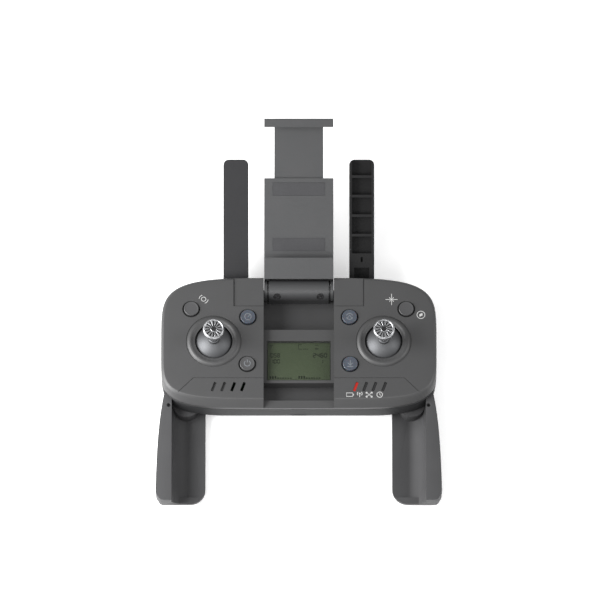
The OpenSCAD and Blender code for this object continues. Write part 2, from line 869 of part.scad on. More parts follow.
// One moulding: a skin on one side, ribs on the other, and a fork at its root
module antenna_blade() {
    t = antenna_t / 2;
    w = antenna_w / 2;
    ribs = 5;
    pitch = (antenna_l - 14) / ribs;
    difference() {
        union() {
            axle(t, [-w, w]);
            bar([-w, w], [0, antenna_l - 3], [-t, t]);
            translate([0, antenna_l - 3, 0]) {
                bar([-w + 3, w - 3], [-1, 3], [-t, t]);
                for (s = [-1, 1]) translate([s * (w - 3), 0, -t]) cylinder(r = 3, h = antenna_t);
            }
        }
        // the fork is closed past its tongue on the skin's side
        bar([-fork_gap / 2, fork_gap / 2], [-t - 1, 1.6], [-t - 1, t + 1]);
        axle(tongue_r + run_fit + 0.1, [-fork_gap / 2, fork_gap / 2]);
        bar([-fork_gap / 2, fork_gap / 2], [0, 8.4], [-1.4, t + 1]);
        bar([-0.5, 0.5], [11.5, 14], [0, t + 1]);
        for (i = [0:ribs - 1])
            bar([-w + 1.4, w - 1.4], [16 + i * pitch, 16 + (i + 1) * pitch - 1.4], [-t + 1.6, t + 1]);
        axle(antenna_pin_r + run_fit, [-w - 1, w + 1]);
    }
}

module left_antenna() {
    color("#59595c") antenna_at(-1) mirror([0, 0, 1]) antenna_blade();
}

module right_antenna() {
    color("#2f2f31") antenna_at(1) antenna_blade();
}

module antenna_pins() {
    color("#b0b2b5")
    for (s = [-1, 1]) translate([s * antenna_x, antenna_y, antenna_z])
        axle(antenna_pin_r, [-antenna_w / 2 + 0.4, antenna_w / 2 - 0.4]);
}

// ---- Phone clamp ----

module at_hinge() {
    translate([0, hinge_y, hinge_z]) children();
}

module in_arm() {
    at_hinge() rotate([clamp_tilt, 0, 0]) children();
}

block_screw_x = 11.5;
block_screw_tilt = 30;

module block_screws_at() {
    for (s = [-1, 1]) translate([s * block_screw_x, 0, 0]) rotate([90 - block_screw_tilt, 0, 0]) children();
}

module hinge_block() {
    color("#606064")
    at_hinge() difference() {
        union() {
            axle(barrel_r, [-block_half, block_half]);
            bar([-block_half, block_half], [-4, 1.8], [well_z + 0.05 - hinge_z, 0]);
        }
        axle(hinge_r, [-block_half - 1, block_half + 1]);
        block_screws_at() translate([0, 0, barrel_r - 1.2]) cylinder(r = 2, h = 4);
    }
}

module hinge_screws() {
    color("#8b8d90")
    at_hinge() block_screws_at() difference() {
        translate([0, 0, barrel_r - 1.2]) cylinder(r = 1.85, h = 1);
        for (a = [0, 90]) rotate(a) translate([-1.2, -0.25, barrel_r - 0.8]) cube([2.4, 0.5, 1]);
    }
}

module hinge_washers() {
    color("#d6d3cb")
    at_hinge() both_sides() translate([block_half + 0.05, 0, 0]) rotate([0, 90, 0])
        ring(5, hinge_r + run_fit, cheek_in - block_half - 0.1);
}

module hinge_pin() {
    color("#a9abae")
    at_hinge() axle(hinge_r, [-arm_half + 0.2, arm_half - 0.2]);
}

module clamp_arm() {
    color("#656568")
    in_arm() difference() {
        union() {
            difference() {
                bar([-arm_half, arm_half], [3.5, arm_l], [plate_bottom, plate_top]);
                axle(barrel_r + 0.4, [-cheek_in, cheek_in]);
            }
            both_sides() {
                axle(barrel_r, [cheek_in, arm_half]);
                bar([cheek_in, arm_half], [0, 6], [-barrel_r, plate_top]);
            }
            bar([-arm_half, arm_half], [lower_jaw_near, lower_jaw_far], [plate_top - eps, 6.4]);
            bar([-arm_half, arm_half], [lower_jaw_far - 1, lower_jaw_far + 1.2], [5.2, 6.4]);
        }
        axle(hinge_r + run_fit, [-arm_half - 1, arm_half + 1]);
        // track for the slider, and the seat of the back cover
        bar([-track_half, track_half], [9, arm_l + 1], [track_bottom, track_top]);
        bar([-track_half - 2.2, track_half + 2.2], [8, arm_l + 1], [plate_bottom - 1, track_bottom]);
        // hollow in the lower jaw
        bar([-arm_half + 1.6, arm_half - 1.6], [lower_jaw_near + 1.6, lower_jaw_far - 1.6],
            [plate_top + 1, 4.9]);
        // pad seats
        bar([-14, 14], [lower_jaw_far - pad_t + pad_proud, lower_jaw_far + 0.1], [-1.6, 5.2]);
        for (a = arm_pad_at) bar([-14, 14], [a, a + arm_pad_l], [plate_top - 0.6, plate_top + 0.1]);
        // screws of the back cover
        cover_screws_at() translate([0, 0, plate_bottom]) cylinder(r = 0.9, h = 3);
    }
}

arm_pad_at = [21, 50.5];
arm_pad_l = 7;

module cover_screws_at() {
    for (x = [-14.3, 14.3], a = [12, arm_l - 6]) translate([x, a, 0]) children();
}

module clamp_back_cover() {
    color("#5b5b5e")
    in_arm() difference() {
        bar([-track_half - 2.2 + seat_fit, track_half + 2.2 - seat_fit], [8 + seat_fit, arm_l],
            [plate_bottom, track_bottom]);
        cover_screws_at() translate([0, 0, plate_bottom - 1]) cylinder(r = 0.9, h = 3);
        bar([-3, 3], [spring_at, spring_at + 12], [track_bottom - 0.8, 0]);
    }
}

module cover_screws() {
    color("#2b2b2d")
    in_arm() cover_screws_at() {
        translate([0, 0, plate_bottom + 0.05]) cylinder(r = 0.85, h = 2.8);
    }
}

spring_at = 46;

// Bowed strip that presses on the slider and holds the jaw where it is put
module clamp_spring() {
    bow_r = 30;
    half = 5;
    rise = 0.45;
    color("#c0c2c4")
    in_arm() translate([0, spring_at + 6, track_bottom - 0.08]) intersection() {
        translate([0, 0, -bow_r]) difference() {
            axle(bow_r, [-2.4, 2.4]);
            axle(bow_r - 0.25, [-3, 3]);
        }
        bar([-2.4, 2.4], [-half, half], [-rise - 0.25, 0]);
    }
}

module clamp_slider() {
    slider_end = upper_jaw_a;
    color("#606063")
    in_arm() difference() {
        union() {
            bar([-track_half + 0.2, track_half - 0.2], [slider_end - slider_l, slider_end + 0.5],
                [track_bottom + 0.05, track_bottom + 0.05 + slider_t]);
            bar([-arm_half, arm_half], [upper_jaw_a, upper_jaw_a + jaw_t], [plate_bottom, 3.4]);
            bar([-arm_half, arm_half], [upper_jaw_a - 1, upper_jaw_a + jaw_t], [2.4, 3.4]);
        }
        bar([-14, 14], [upper_jaw_a - 0.1, upper_jaw_a + pad_t - pad_proud], [-2.4, 2.3]);
    }
}

module lower_jaw_pad() {
    color("#3c3c3e")
    in_arm() bar([-13.9, 13.9], [lower_jaw_far - pad_t + pad_proud, lower_jaw_far + pad_proud], [-1.5, 5.1]);
}

module upper_jaw_pad() {
    color("#3c3c3e")
    in_arm() bar([-13.9, 13.9], [upper_jaw_a - pad_proud, upper_jaw_a + pad_t - pad_proud], [-2.3, 2.2]);
}

module arm_pads() {
    color("#3c3c3e")
    in_arm() for (a = arm_pad_at)
        bar([-13.9, 13.9], [a + 0.1, a + arm_pad_l - 0.1], [plate_top - 0.6, plate_top + pad_proud]);
}

top_shell();
bottom_shell();
shell_screws();
display_window();
display_glass();
display_backlight();
main_board();
button_boards();
tact_switches();
led_chips();
status_light_pipes();
usb_socket();
battery_pack();
speaker();
radio_module();
left_photo_button();
left_speed_button();
power_button();
right_video_button();
right_flip_button();
right_land_button();
left_gimbal_base();
left_gimbal_frame();
left_stick_shaft();
left_stick_dome();
left_stick_cap();
left_pitch_pot();
left_roll_pot();
left_springs();
right_gimbal_base();
right_gimbal_frame();
right_stick_shaft();
right_stick_dome();
right_stick_cap();
right_pitch_pot();
right_roll_pot();
right_springs();
left_grip();
right_grip();
grip_pivot_screws();
left_antenna();
right_antenna();
antenna_pins();
hinge_block();
hinge_washers();
hinge_pin();
hinge_screws();
clamp_arm();
clamp_back_cover();
cover_screws();
clamp_slider();
clamp_spring();
lower_jaw_pad();
upper_jaw_pad();
arm_pads();
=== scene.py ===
"""The looks of a drone's hand-held radio transmitter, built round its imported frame.

Every shape below is drawn in millimetres in the frame's own axes: +Z out of the face,
+Y towards the phone clamp, and the back of the case on z = 0. place() turns a finished
shape to metres and gives it to the body that it moves with.
"""
import math

import bmesh
import bpy
from mathutils import Matrix, Vector


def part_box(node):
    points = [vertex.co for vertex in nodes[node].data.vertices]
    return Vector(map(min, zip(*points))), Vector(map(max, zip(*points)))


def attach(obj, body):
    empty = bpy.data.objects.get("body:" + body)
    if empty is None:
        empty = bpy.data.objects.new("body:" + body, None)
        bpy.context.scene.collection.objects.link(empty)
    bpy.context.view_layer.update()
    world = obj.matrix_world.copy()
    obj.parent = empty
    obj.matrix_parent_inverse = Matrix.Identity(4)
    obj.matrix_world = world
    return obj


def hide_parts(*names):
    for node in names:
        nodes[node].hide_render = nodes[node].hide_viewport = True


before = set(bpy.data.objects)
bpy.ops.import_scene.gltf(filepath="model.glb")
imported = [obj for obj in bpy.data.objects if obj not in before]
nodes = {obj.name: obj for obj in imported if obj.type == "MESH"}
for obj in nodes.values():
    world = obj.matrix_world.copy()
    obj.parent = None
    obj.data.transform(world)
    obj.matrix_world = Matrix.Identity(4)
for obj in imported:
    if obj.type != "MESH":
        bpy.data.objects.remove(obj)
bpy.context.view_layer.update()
MM = 0.001


# ---- Sizes, from the frame where it holds them ----

def span(node, axis):
    """A node's lowest and highest place along one axis, in millimetres."""
    low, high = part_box(node)
    return low[axis] / MM, high[axis] / MM


HALF_W = span("bottom_shell", 0)[1]
HALF_L = -span("bottom_shell", 1)[0]
PART_Z = span("bottom_shell", 2)[1]
TOP_SHELL_H = 5.6
FACE_Z = PART_Z + TOP_SHELL_H
WALL = 2.0
BACK_R = 13.0
CLAMP_END_POWER = 4.6
FRONT_END_POWER = 5.5
BEVEL_W = 4.1
BEVEL_H = 3.7
EDGE_R = 1.2
SEAM = 0.22                       # chamfer of each shell where the two meet
BEYOND = 60                       # past the case's end, for cuts that run out of it

CHANNEL_HALF = 18.7
CHANNEL_WALL = 1.6
TUB_HALF = CHANNEL_HALF + CHANNEL_WALL
FLOOR_Z = FACE_Z - 4
WELL_Z = FACE_Z - 16
FRONT_WELL_Z = FACE_Z - 10.6
WELL_Y = HALF_L - 28.8
WELL_FLOOR = 1.4
WELL_WALL = 1.2
FRONT_WELL = (-HALF_L + 4.4, -HALF_L + 14.4)
PANEL_X = CHANNEL_HALF + 15.8     # flat panels beside the arm
PANEL_Y = HALF_L - 16.6
DISPLAY_X = span("display_window", 0)
DISPLAY_Y = span("display_window", 1)
WINDOW_Z = span("display_window", 2)
GLASS_Z = span("display_glass", 2)

STICK_X = (span("right_stick_dome", 0)[0] + span("right_stick_dome", 0)[1]) / 2
PIVOT_Z = FACE_Z - 8.6
DOME_CUT = 75.0
DOME_R = (span("right_stick_dome", 0)[1] - STICK_X) / math.sin(math.radians(DOME_CUT))
DOME_GAP = 1.0
DOME_T = 0.7
STICK_HOLE_R = 9.9
RING_OUT = 14.3
CAP_TOP = span("right_stick_cap", 2)[1]
CAP_R = 5.74

BUTTON_R = 3.95
BUTTON_TOP = span("power_button", 2)[1]
BUTTON_HOLE_R = BUTTON_R + 0.55
FLANGE_R = 4.9

PIVOT_X = HALF_W - 13.2
PIVOT_Y = -HALF_L + 6.8
POST_R = 7.1
PIVOT_HEAD_R, PIVOT_BORE_R = 4.6, 2.55
GRIP_L = 58.0
GRIP_TOP = span("left_grip", 2)[1]
GRIP_UNDER = span("left_grip", 2)[0]
KNUCKLE_R = 11.0
KNUCKLE_TOP = 10.2
KNUCKLE_ROOM = KNUCKLE_TOP + 0.4
FLANGE_IN = -7.4
TROUGH_T, TROUGH_Z, TROUGH_EDGE_Z = 1.6, 3.2, 14.0
LIP_T, LIP_Z, RIM_Z = 10.5, 5.0, 5.2
SWING = 0.5

ANTENNA_X = 33.5
ANTENNA_Y = HALF_L + 1.7
ANTENNA_Z = FACE_Z - 13.5
ANTENNA_W, ANTENNA_T = 13.3, 6.4
TONGUE_W, TONGUE_R = 7.2, 2.2
ANTENNA_PIN_R = 1.1

SLOT_W, SLOT_L, SLOT_LEAN = 1.5, 5.4, 20.0
SLOT_Y = -HALF_L + 10.8
BLIND_SLOT = 1.2
LEFT_SLOTS = ((-45.1, False), (-40.0, False), (-34.8, True), (-29.6, True))
RIGHT_SLOTS = (30.2, 35.2, 40.1, 45.3)


def button_at(node):
    """The middle of a button, across the face."""
    x, y = span(node, 0), span(node, 1)
    return (x[0] + x[1]) / 2, (y[0] + y[1]) / 2


# ---- Colour and materials ----

def linear(code):
    """A hex sRGB colour as linear red, green, blue and alpha."""
    parts = [int(code[i:i + 2], 16) / 255 for i in (1, 3, 5)]
    return [c / 12.92 if c <= 0.04045 else ((c + 0.055) / 1.055) ** 2.4 for c in parts] + [1.0]


def put(tree, kind, inputs=None, **settings):
    """Adds a node, sets it, and fills or links its inputs."""
    new = tree.nodes.new(kind)
    for key, value in settings.items():
        setattr(new, key, value)
    for key, value in (inputs or {}).items():
        if isinstance(value, bpy.types.NodeSocket):
            tree.links.new(value, new.inputs[key])
        else:
            new.inputs[key].default_value = value
    return new


def blank_material(name):
    material = bpy.data.materials.new(name)
    material.use_nodes = True
    material.node_tree.nodes.clear()
    return material, material.node_tree


def finished(name, dark, light, grain, depth, rough, mottle=None, stretch=(1, 1, 1), **shader):
    """A surface with a grain that is grain millimetres wide and depth deep. Its
    roughness follows the grain, and its colour a broader mottle where it has one."""
    material, tree = blank_material(name)
    place_on = put(tree, "ShaderNodeTexCoord").outputs["Object"]
    place_on = put(tree, "ShaderNodeMapping", {"Vector": place_on, "Scale": stretch}).outputs["Vector"]
    fine = put(tree, "ShaderNodeTexNoise", {"Vector": place_on, "Scale": 1 / (grain * MM),
                                            "Detail": 2.0}).outputs["Fac"]
    broad = fine if mottle is None else put(
        tree, "ShaderNodeTexNoise", {"Vector": place_on, "Scale": 1 / (mottle * MM),
                                     "Detail": 3.0}).outputs["Fac"]
    spread = {"From Min": 0.3, "From Max": 0.7}
    dull = put(tree, "ShaderNodeMapRange", {"Value": fine, "To Min": rough[0], "To Max": rough[1],
                                            **spread}).outputs["Result"]
    tint = put(tree, "ShaderNodeMix", {"Factor": broad}, data_type="RGBA")
    tint.inputs[6].default_value = linear(dark)
    tint.inputs[7].default_value = linear(light)
    inputs = {"Base Color": tint.outputs[2], "Roughness": dull, **shader}
    if depth:
        inputs["Normal"] = put(tree, "ShaderNodeBump", {
            "Height": fine, "Strength": 0.5, "Distance": depth * MM}).outputs["Normal"]
    skin = put(tree, "ShaderNodeBsdfPrincipled", inputs)
    put(tree, "ShaderNodeOutputMaterial", {"Surface": skin.outputs["BSDF"]})
    return material


def moulded(name, dark, light, grain=0.35, depth=0.025, rough=(0.42, 0.52), **more):
    """Moulded plastic: a fine spark-eroded grain that softens its highlights, and a
    broad, very faint mottle from the flow of the melt. The real grain is 0.1 mm, too
    fine to show, so it is drawn a little coarser."""
    return finished(name, dark, light, grain, depth, rough, mottle=14.0, **{"IOR": 1.52, **more})


def drawn_steel(name, dark, light, rough=(0.24, 0.36), stretch=(1, 1, 12)):
    """Steel with the fine lines of drawing or grinding, which stretch its highlights."""
    return finished(name, dark, light, 0.9, 0.006, rough, stretch=stretch, Metallic=1.0)


def silver_coating(name, dark, light, rough, coat):
    """ABS with a sprayed silver coat: metal flake gives a soft metallic sheen, and the
    clear top coat a sharper glint over it."""
    return finished(name, dark, light, 0.3, 0.004, rough,
                    **{"Metallic": 0.85, "Coat Weight": coat, "Coat Roughness": 0.12})


def clear_pane(name):
    """Clear acrylic: seen through head on, and it mirrors the lights at a slant."""
    material, tree = blank_material(name)
    through = put(tree, "ShaderNodeBsdfTransparent", {"Color": linear("#eef0ec")})
    sheen = put(tree, "ShaderNodeBsdfGlossy", {"Roughness": 0.06})
    fac = put(tree, "ShaderNodeLayerWeight", {"Blend": 0.12})
    mix = put(tree, "ShaderNodeMixShader", {0: fac.outputs["Facing"], 1: through.outputs["BSDF"],
                                            2: sheen.outputs["BSDF"]})
    put(tree, "ShaderNodeOutputMaterial", {"Surface": mix.outputs["Shader"]})
    return material


# Spark-eroded ABS: a dull dark grey with wide, soft highlights.
CASE_ABS = moulded("moulded_abs_case", "#393939", "#3d3d3e")
# The lower case and the grips have a coarser grain, so the bright table hardly
# shows in their lowest faces. The lower case's colour is also painted darker than
# the top case's, as painted shade against the light the table throws up on it.
LOWER_ABS_PAINTED_SHADE = moulded("moulded_abs_lower_case_painted_shade", "#2d2e2f", "#323233", rough=(0.56, 0.66),
                    **{"Specular IOR Level": 0.2})
GRIP_ABS = moulded("moulded_abs_grips", "#3e3e3f", "#434344", rough=(0.56, 0.66),
                   **{"Specular IOR Level": 0.2})
CLAMP_ABS = moulded("moulded_abs_clamp", "#353637", "#3a3a3b")
# One antenna is nearly black and the other black, and both are dull.
ANTENNA_ABS = moulded("moulded_abs_antenna", "#1d1d1f", "#212123", grain=0.5, depth=0.012,
                      rough=(0.55, 0.65), **{"Specular IOR Level": 0.3})
DARK_ABS = moulded("moulded_abs_dark_antenna", "#0b0b0c", "#0f0f10", grain=0.5, depth=0.012,
                   rough=(0.55, 0.65), **{"Specular IOR Level": 0.25})
# Buttons are moulded smoother than the case, so they catch a tighter highlight. The
# lit ones are a bluish, faintly translucent plastic.
BUTTON_ABS = moulded("moulded_abs_button", "#3e3e3f", "#434344", grain=0.25, depth=0.015,
                     rough=(0.34, 0.42))
LIT_BUTTON = moulded("translucent_button", "#3c4048", "#454a53", grain=0.3, depth=0.012,
                     rough=(0.26, 0.36), **{"Subsurface Weight": 0.15, "Subsurface Scale": 0.001})
# Parts inside: nylon, epoxy and phenolic, dull and plain.
GIMBAL_NYLON = moulded("moulded_nylon_gimbal", "#2b2b2d", "#343437", grain=0.4)
COMPONENT = moulded("moulded_epoxy_component", "#202022", "#2b2b2e", grain=0.2, rough=(0.3, 0.45))
POT_PLASTIC = moulded("moulded_phenolic_potentiometer", "#254f78", "#2f5f8e", grain=0.3)
WASHER_NYLON = moulded("black_nylon_washer", "#1d1d1e", "#252526", grain=0.3)
# Shrink film lies tight and glossy, with shallow wrinkles.
BATTERY_FILM = moulded("shrink_film_battery", "#2d4c78", "#3a5d8e", grain=2.5, depth=0.08,
                       rough=(0.16, 0.28))
# Solder mask is a thin glossy lacquer over the weave of the board.
SOLDER_MASK = moulded("solder_mask_board", "#1d4a2d", "#26583a", grain=0.8, depth=0.02,
                      rough=(0.2, 0.32))
LED_EPOXY = moulded("cast_epoxy_led", "#e2d9b6", "#efe7c8", grain=0.3, rough=(0.2, 0.3))
DIFFUSER = moulded("moulded_diffuser_backlight", "#d2d6cb", "#dde0d6", grain=0.6)
# Rubber has almost no highlight.
PAD_RUBBER = moulded("moulded_rubber_pad", "#2d2d2f", "#373739", grain=0.5, depth=0.05,
                     rough=(0.72, 0.85))
# Light pipes: smoked acrylic, clear and shiny, and one that glows red inside.
DARK_PIPE = moulded("smoked_acrylic_light_pipe", "#1f1f20", "#2a2a2b", grain=0.8, depth=0.01,
                    rough=(0.18, 0.3))
RED_PIPE = finished("lit_red_light_pipe", "#4a1512", "#6b2018", 1.6, 0.0, (0.25, 0.35),
                    **{"Emission Color": linear("#ff2a1a"), "Emission Strength": 0.35})
# Steel: drawn bright, blackened, and zinc plated.
STEEL = drawn_steel("drawn_steel", "#9c9ea1", "#babcbe")
BLACK_STEEL = drawn_steel("blackened_steel_screw", "#1c1c1d", "#2c2c2e", (0.4, 0.52))
BLOCK_SCREW = drawn_steel("grey_zinc_screw", "#6a6a6b", "#8c8c8e", (0.3, 0.42), (1, 1, 1))
# The caps' bright silver glints at its edges, and the dome's satin one spreads a
# broad soft highlight. The waist below a cap is bare black plastic.
CAP_SILVER = silver_coating("bright_silver_coating_cap", "#9c9d9f", "#b5b6b8", (0.24, 0.32), 0.3)
CAP_PLASTIC = moulded("moulded_abs_cap_waist", "#1c1c1d", "#232324", grain=0.3)
# A black ring laid in each cap's dish between the teeth is painted shade; the disc in the cap's middle is
# black too.
CAP_SHADE_AND_CENTRE = moulded("painted_shade_and_black_centre_cap", "#101011", "#161617", grain=0.3)
DOME_SILVER = silver_coating("satin_silver_coating_dome", "#58595b", "#636466", (0.52, 0.62), 0.0)
CLEAR = clear_pane("clear_acrylic_window")
# Unlit liquid crystal is a matt olive grey, and its segments are nearly black.
LCD_OLIVE = moulded("liquid_crystal_glass", "#4d5545", "#555d4c", grain=3.0, depth=0.0,
                    rough=(0.4, 0.42))
LCD_INK = moulded("liquid_crystal_segments", "#10150d", "#141911", grain=0.5, depth=0.0)
# Pad print is a thin, even, slightly dull ink.
PRINT_WHITE = moulded("white_pad_print", "#a9a9a8", "#b5b5b4", grain=0.3, depth=0.006,
                      rough=(0.5, 0.6))
PRINT_GREY = moulded("grey_pad_print", "#666a6e", "#717478", grain=0.3, depth=0.006,
                     rough=(0.5, 0.6))
# The table is opal acrylic lit from within, so it stays even and white.
FLOOR_OPAL = moulded("cast_opal_acrylic_table", "#f2f2f2", "#f4f4f4", grain=40.0, depth=0.0,
                     rough=(0.6, 0.7), **{"Emission Color": linear("#ffffff"),
                                          "Emission Strength": 0.4})


# ---- Making shapes ----

def build(name, points, faces):
    mesh = bpy.data.meshes.new(name)
    mesh.from_pydata([tuple(p) for p in points], [], [tuple(f) for f in faces])
    mesh.validate()
    piece = bpy.data.objects.new(name, mesh)
    bpy.context.scene.collection.objects.link(piece)
    return piece


def tidy_normals(piece):
    work = bmesh.new()
    work.from_mesh(piece.data)
    bmesh.ops.recalc_face_normals(work, faces=work.faces)
    work.to_mesh(piece.data)
    work.free()
    return piece


def block(x, y, z):
    """A box between two places on each axis."""
    points = [(x[i], y[j], z[k]) for i in (0, 1) for j in (0, 1) for k in (0, 1)]
    faces = [(0, 1, 3, 2), (4, 6, 7, 5), (0, 4, 5, 1), (2, 3, 7, 6), (0, 2, 6, 4), (1, 5, 7, 3)]
    return build("block", points, faces)


def prism(outline, z):
    """An upright prism over an outline."""
    n = len(outline)
    points = [(x, y, h) for h in z for x, y in outline]
    faces = [tuple(range(n - 1, -1, -1)), tuple(range(n, 2 * n))]
    faces += [(i, (i + 1) % n, n + (i + 1) % n, n + i) for i in range(n)]
    return tidy_normals(build("prism", points, faces))


def turned(profile, steps=96):
    """A solid of revolution about Z through a profile of (radius, height) points. A
    profile that starts and ends on the axis closes itself; any other is a ring."""
    points, rows = [], []
    for r, z in profile:
        if r < 1e-6:
            rows.append([len(points)] * steps)
            points.append((0, 0, z))
        else:
            rows.append(list(range(len(points), len(points) + steps)))
            points += [(r * math.cos(2 * math.pi * i / steps),
                        r * math.sin(2 * math.pi * i / steps), z) for i in range(steps)]
    on_axis = profile[0][0] < 1e-6 and profile[-1][0] < 1e-6
    pairs = list(zip(rows, rows[1:])) + ([] if on_axis else [(rows[-1], rows[0])])
    faces = []
    for a, b in pairs:
        for i in range(steps):
            j = (i + 1) % steps
            corners = [a[i], a[j], b[j], b[i]]
            corners = [c for k, c in enumerate(corners) if c not in corners[:k]]
            if len(corners) > 2:
                faces.append(tuple(corners))
    return tidy_normals(build("turned", points, faces))


def rod(radius, z, steps=64):
    return turned([(0, z[0]), (radius, z[0]), (radius, z[1]), (0, z[1])], steps)


def ball(radius, steps=96):
    half = steps // 2
    arc = [(radius * math.sin(math.pi * i / half), -radius * math.cos(math.pi * i / half))
           for i in range(half + 1)]
    return turned([(0, -radius)] + arc[1:-1] + [(0, radius)], steps)


def outline(inset, front_inset, steps=240):
    """The case's outline, a superellipse that is rounder at the clamp's end."""
    a = HALF_W - inset
    points = []
    for i in range(steps):
        c, s = math.cos(2 * math.pi * i / steps), math.sin(2 * math.pi * i / steps)
        c, s = round(c, 9), round(s, 9)
        power = 2 / (CLAMP_END_POWER if s >= 0 else FRONT_END_POWER)
        b = HALF_L - (inset if s >= 0 else front_inset)
        points.append((math.copysign(a * abs(c) ** power, c), math.copysign(b * abs(s) ** power, s)))
    return points


def loft(rings):
    """A closed body through rings of the case's outline, lowest first: each is its
    inset, its height and its inset at the front."""
    points = [(x, y, z) for inset, z, front in rings for x, y in outline(inset, front)]
    n = len(points) // len(rings)
    faces = [tuple(range(n - 1, -1, -1)), tuple(range(n * (len(rings) - 1), n * len(rings)))]
    for k in range(len(rings) - 1):
        faces += [(k * n + i, k * n + (i + 1) % n, (k + 1) * n + (i + 1) % n, (k + 1) * n + i)
                  for i in range(n)]
    return tidy_normals(build("loft", points, faces))


def eased(points, radii, steps=6):
    """A line of corners with each inner corner rounded over its own distance."""
    out = [points[0]]
    for before, corner, after, reach in zip(points, points[1:], points[2:], radii):
        p, c, q = Vector(before), Vector(corner), Vector(after)
        a = c + (p - c).normalized() * min(reach, (p - c).length / 2)
        b = c + (q - c).normalized() * min(reach, (q - c).length / 2)
        for i in range(steps + 1):
            t = i / steps
            out.append(tuple((1 - t) ** 2 * a + 2 * t * (1 - t) * c + t * t * b))
    out.append(points[-1])
    return out


def moved(piece, matrix):
    piece.data.transform(matrix)
    if matrix.to_3x3().determinant() < 0:
        piece.data.flip_normals()
    return piece


def at(piece, x=0.0, y=0.0, z=0.0):
    return moved(piece, Matrix.Translation((x, y, z)))


def turn(piece, degrees, axis):
    return moved(piece, Matrix.Rotation(math.radians(degrees), 4, axis))


def mirrored(piece):
    return moved(piece, Matrix.Scale(-1, 4, (1, 0, 0)))


def settle(piece):
    """Applies a piece's modifiers to its mesh."""
    graph = bpy.context.evaluated_depsgraph_get()
    graph.update()
    mesh = bpy.data.meshes.new_from_object(piece.evaluated_get(graph))
    piece.modifiers.clear()
    piece.data = mesh
    return piece


def combine(piece, tools, how):
    """Joins tools to a piece, or cuts them from it, one after the other."""
    for tool in tools:
        step = piece.modifiers.new("cut", "BOOLEAN")
        step.operation = how
        step.solver = "MANIFOLD"
        step.object = tool
        settle(piece)
        bpy.data.objects.remove(tool)
    return piece


def cut(piece, *tools):
    return combine(piece, tools, "DIFFERENCE")


def join(piece, *tools):
    return combine(piece, tools, "UNION")


def keep(piece, *tools):
    return combine(piece, tools, "INTERSECT")


def bevel(piece, width, segments, angle, harden):
    """Rounds a piece's sharp edges, as any moulding or machining leaves them."""
    step = piece.modifiers.new("soften", "BEVEL")
    step.width = width
    step.segments = segments
    step.limit_method = "ANGLE"
    step.angle_limit = math.radians(angle)
    step.use_clamp_overlap = True
    step.harden_normals = harden


def soften(piece, width, segments=2, angle=38):
    """Rounds the edges of a shape that is still in millimetres."""
    bevel(piece, width, segments, angle, False)
    return settle(piece)


def place(piece, name, material, body, slot, *stands_for, smooth=32):
    """Turns a finished shape to metres and hands it to its body."""
    piece.name = name
    piece.data.name = name
    piece.data.transform(Matrix.Scale(MM, 4))
    piece.data.materials.clear()
    piece.data.materials.append(material)
    piece.data.shade_smooth()
    piece.data.set_sharp_from_angle(angle=math.radians(smooth))
    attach(piece, body)
    if stands_for:
        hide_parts(*stands_for)
    return piece


def dress(node, material, edge=0.0, segments=2):
    """Gives a carried-over CAD node its material and softens its edges."""
    piece = nodes[node]
    piece.data.materials.clear()
    piece.data.materials.append(material)
    if edge:
        bevel(piece, edge * MM, segments, 40, True)


def ribbon(points, width, z, closed=False):
    """A flat stroke along a line of points, for printed signs and display segments."""
    n = len(points)
    left, right = [], []
    for i, point in enumerate(points):
        before = points[i - 1] if i or closed else point
        after = points[(i + 1) % n] if i < n - 1 or closed else point
        along = Vector((after[0] - before[0], after[1] - before[1])).normalized()
        side = Vector((-along.y, along.x)) * width / 2
        left.append((point[0] + side.x, point[1] + side.y))
        right.append((point[0] - side.x, point[1] - side.y))
    rows = [[(x, y, h) for x, y in line] for line, h in
            ((left, z[0]), (right, z[0]), (right, z[1]), (left, z[1]))]
    faces = []
    for i in range(n if closed else n - 1):
        j = (i + 1) % n
        for a in range(4):
            b = (a + 1) % 4
            faces.append((a * n + i, a * n + j, b * n + j, b * n + i))
    if not closed:
        faces += [(0, n, 2 * n, 3 * n), (4 * n - 1, 3 * n - 1, 2 * n - 1, n - 1)]
    return tidy_normals(build("ribbon", [p for row in rows for p in row], faces))


def arc(x, y, radius, start, end, steps=20):
    return [(x + radius * math.cos(math.radians(start + (end - start) * i / steps)),
             y + radius * math.sin(math.radians(start + (end - start) * i / steps)))
            for i in range(steps + 1)]


def merged(pieces):
    """Several separate shapes as one piece."""
    work = bmesh.new()
    for piece in pieces:
        work.from_mesh(piece.data)
        bpy.data.objects.remove(piece)
    first = build("merged", [], [])
    work.to_mesh(first.data)
    work.free()
    return first


# ---- Case ----

def both(make):
    """The same tool on the right and, mirrored, on the left."""
    return [make(), mirrored(make())]


def slanted_slot(x, z, grow=0.0):
    w, l = SLOT_W / 2 + grow, SLOT_L / 2 + grow
    slot = eased([(0, -l), (w, -l), (w, l), (-w, l), (-w, -l), (0, -l)], [0.3] * 4, 3)[:-1]
    return at(turn(prism(slot, z), -SLOT_LEAN, "Z"), x, SLOT_Y)


def face_ring():
    """The raised ring round a stick, with a soft crest and a dished inner side."""
    low = -1.2
    profile = eased(
        [(STICK_HOLE_R, low), (STICK_HOLE_R, 0.3), (11.3, 0.55), (12.1, 1.0), (13.3, 0.85),
         (RING_OUT, -0.02), (RING_OUT, low)],
        [0.25, 0.7, 0.6, 0.8, 0.3], 5)
    return at(turned(profile, 160), STICK_X, 0, FACE_Z)


def ring_groove():
    """A fine line round the foot of that ring."""
    r, w, d = RING_OUT + 0.15, 0.28, 0.28
    return at(turned([(r - w, 0.3), (r - w, 0.0), (r, -d), (r + w, 0.0), (r + w, 0.3)], 160),
              STICK_X, 0, FACE_Z)


def face_line(points, width=0.42, depth=0.3):
    return ribbon(points, width, (FACE_Z - depth, FACE_Z + 1))


def button_places():
    return [button_at(n) for n in BUTTONS]


BUTTONS = ("left_photo_button", "left_speed_button", "power_button", "right_video_button",
           "right_flip_button", "right_land_button")


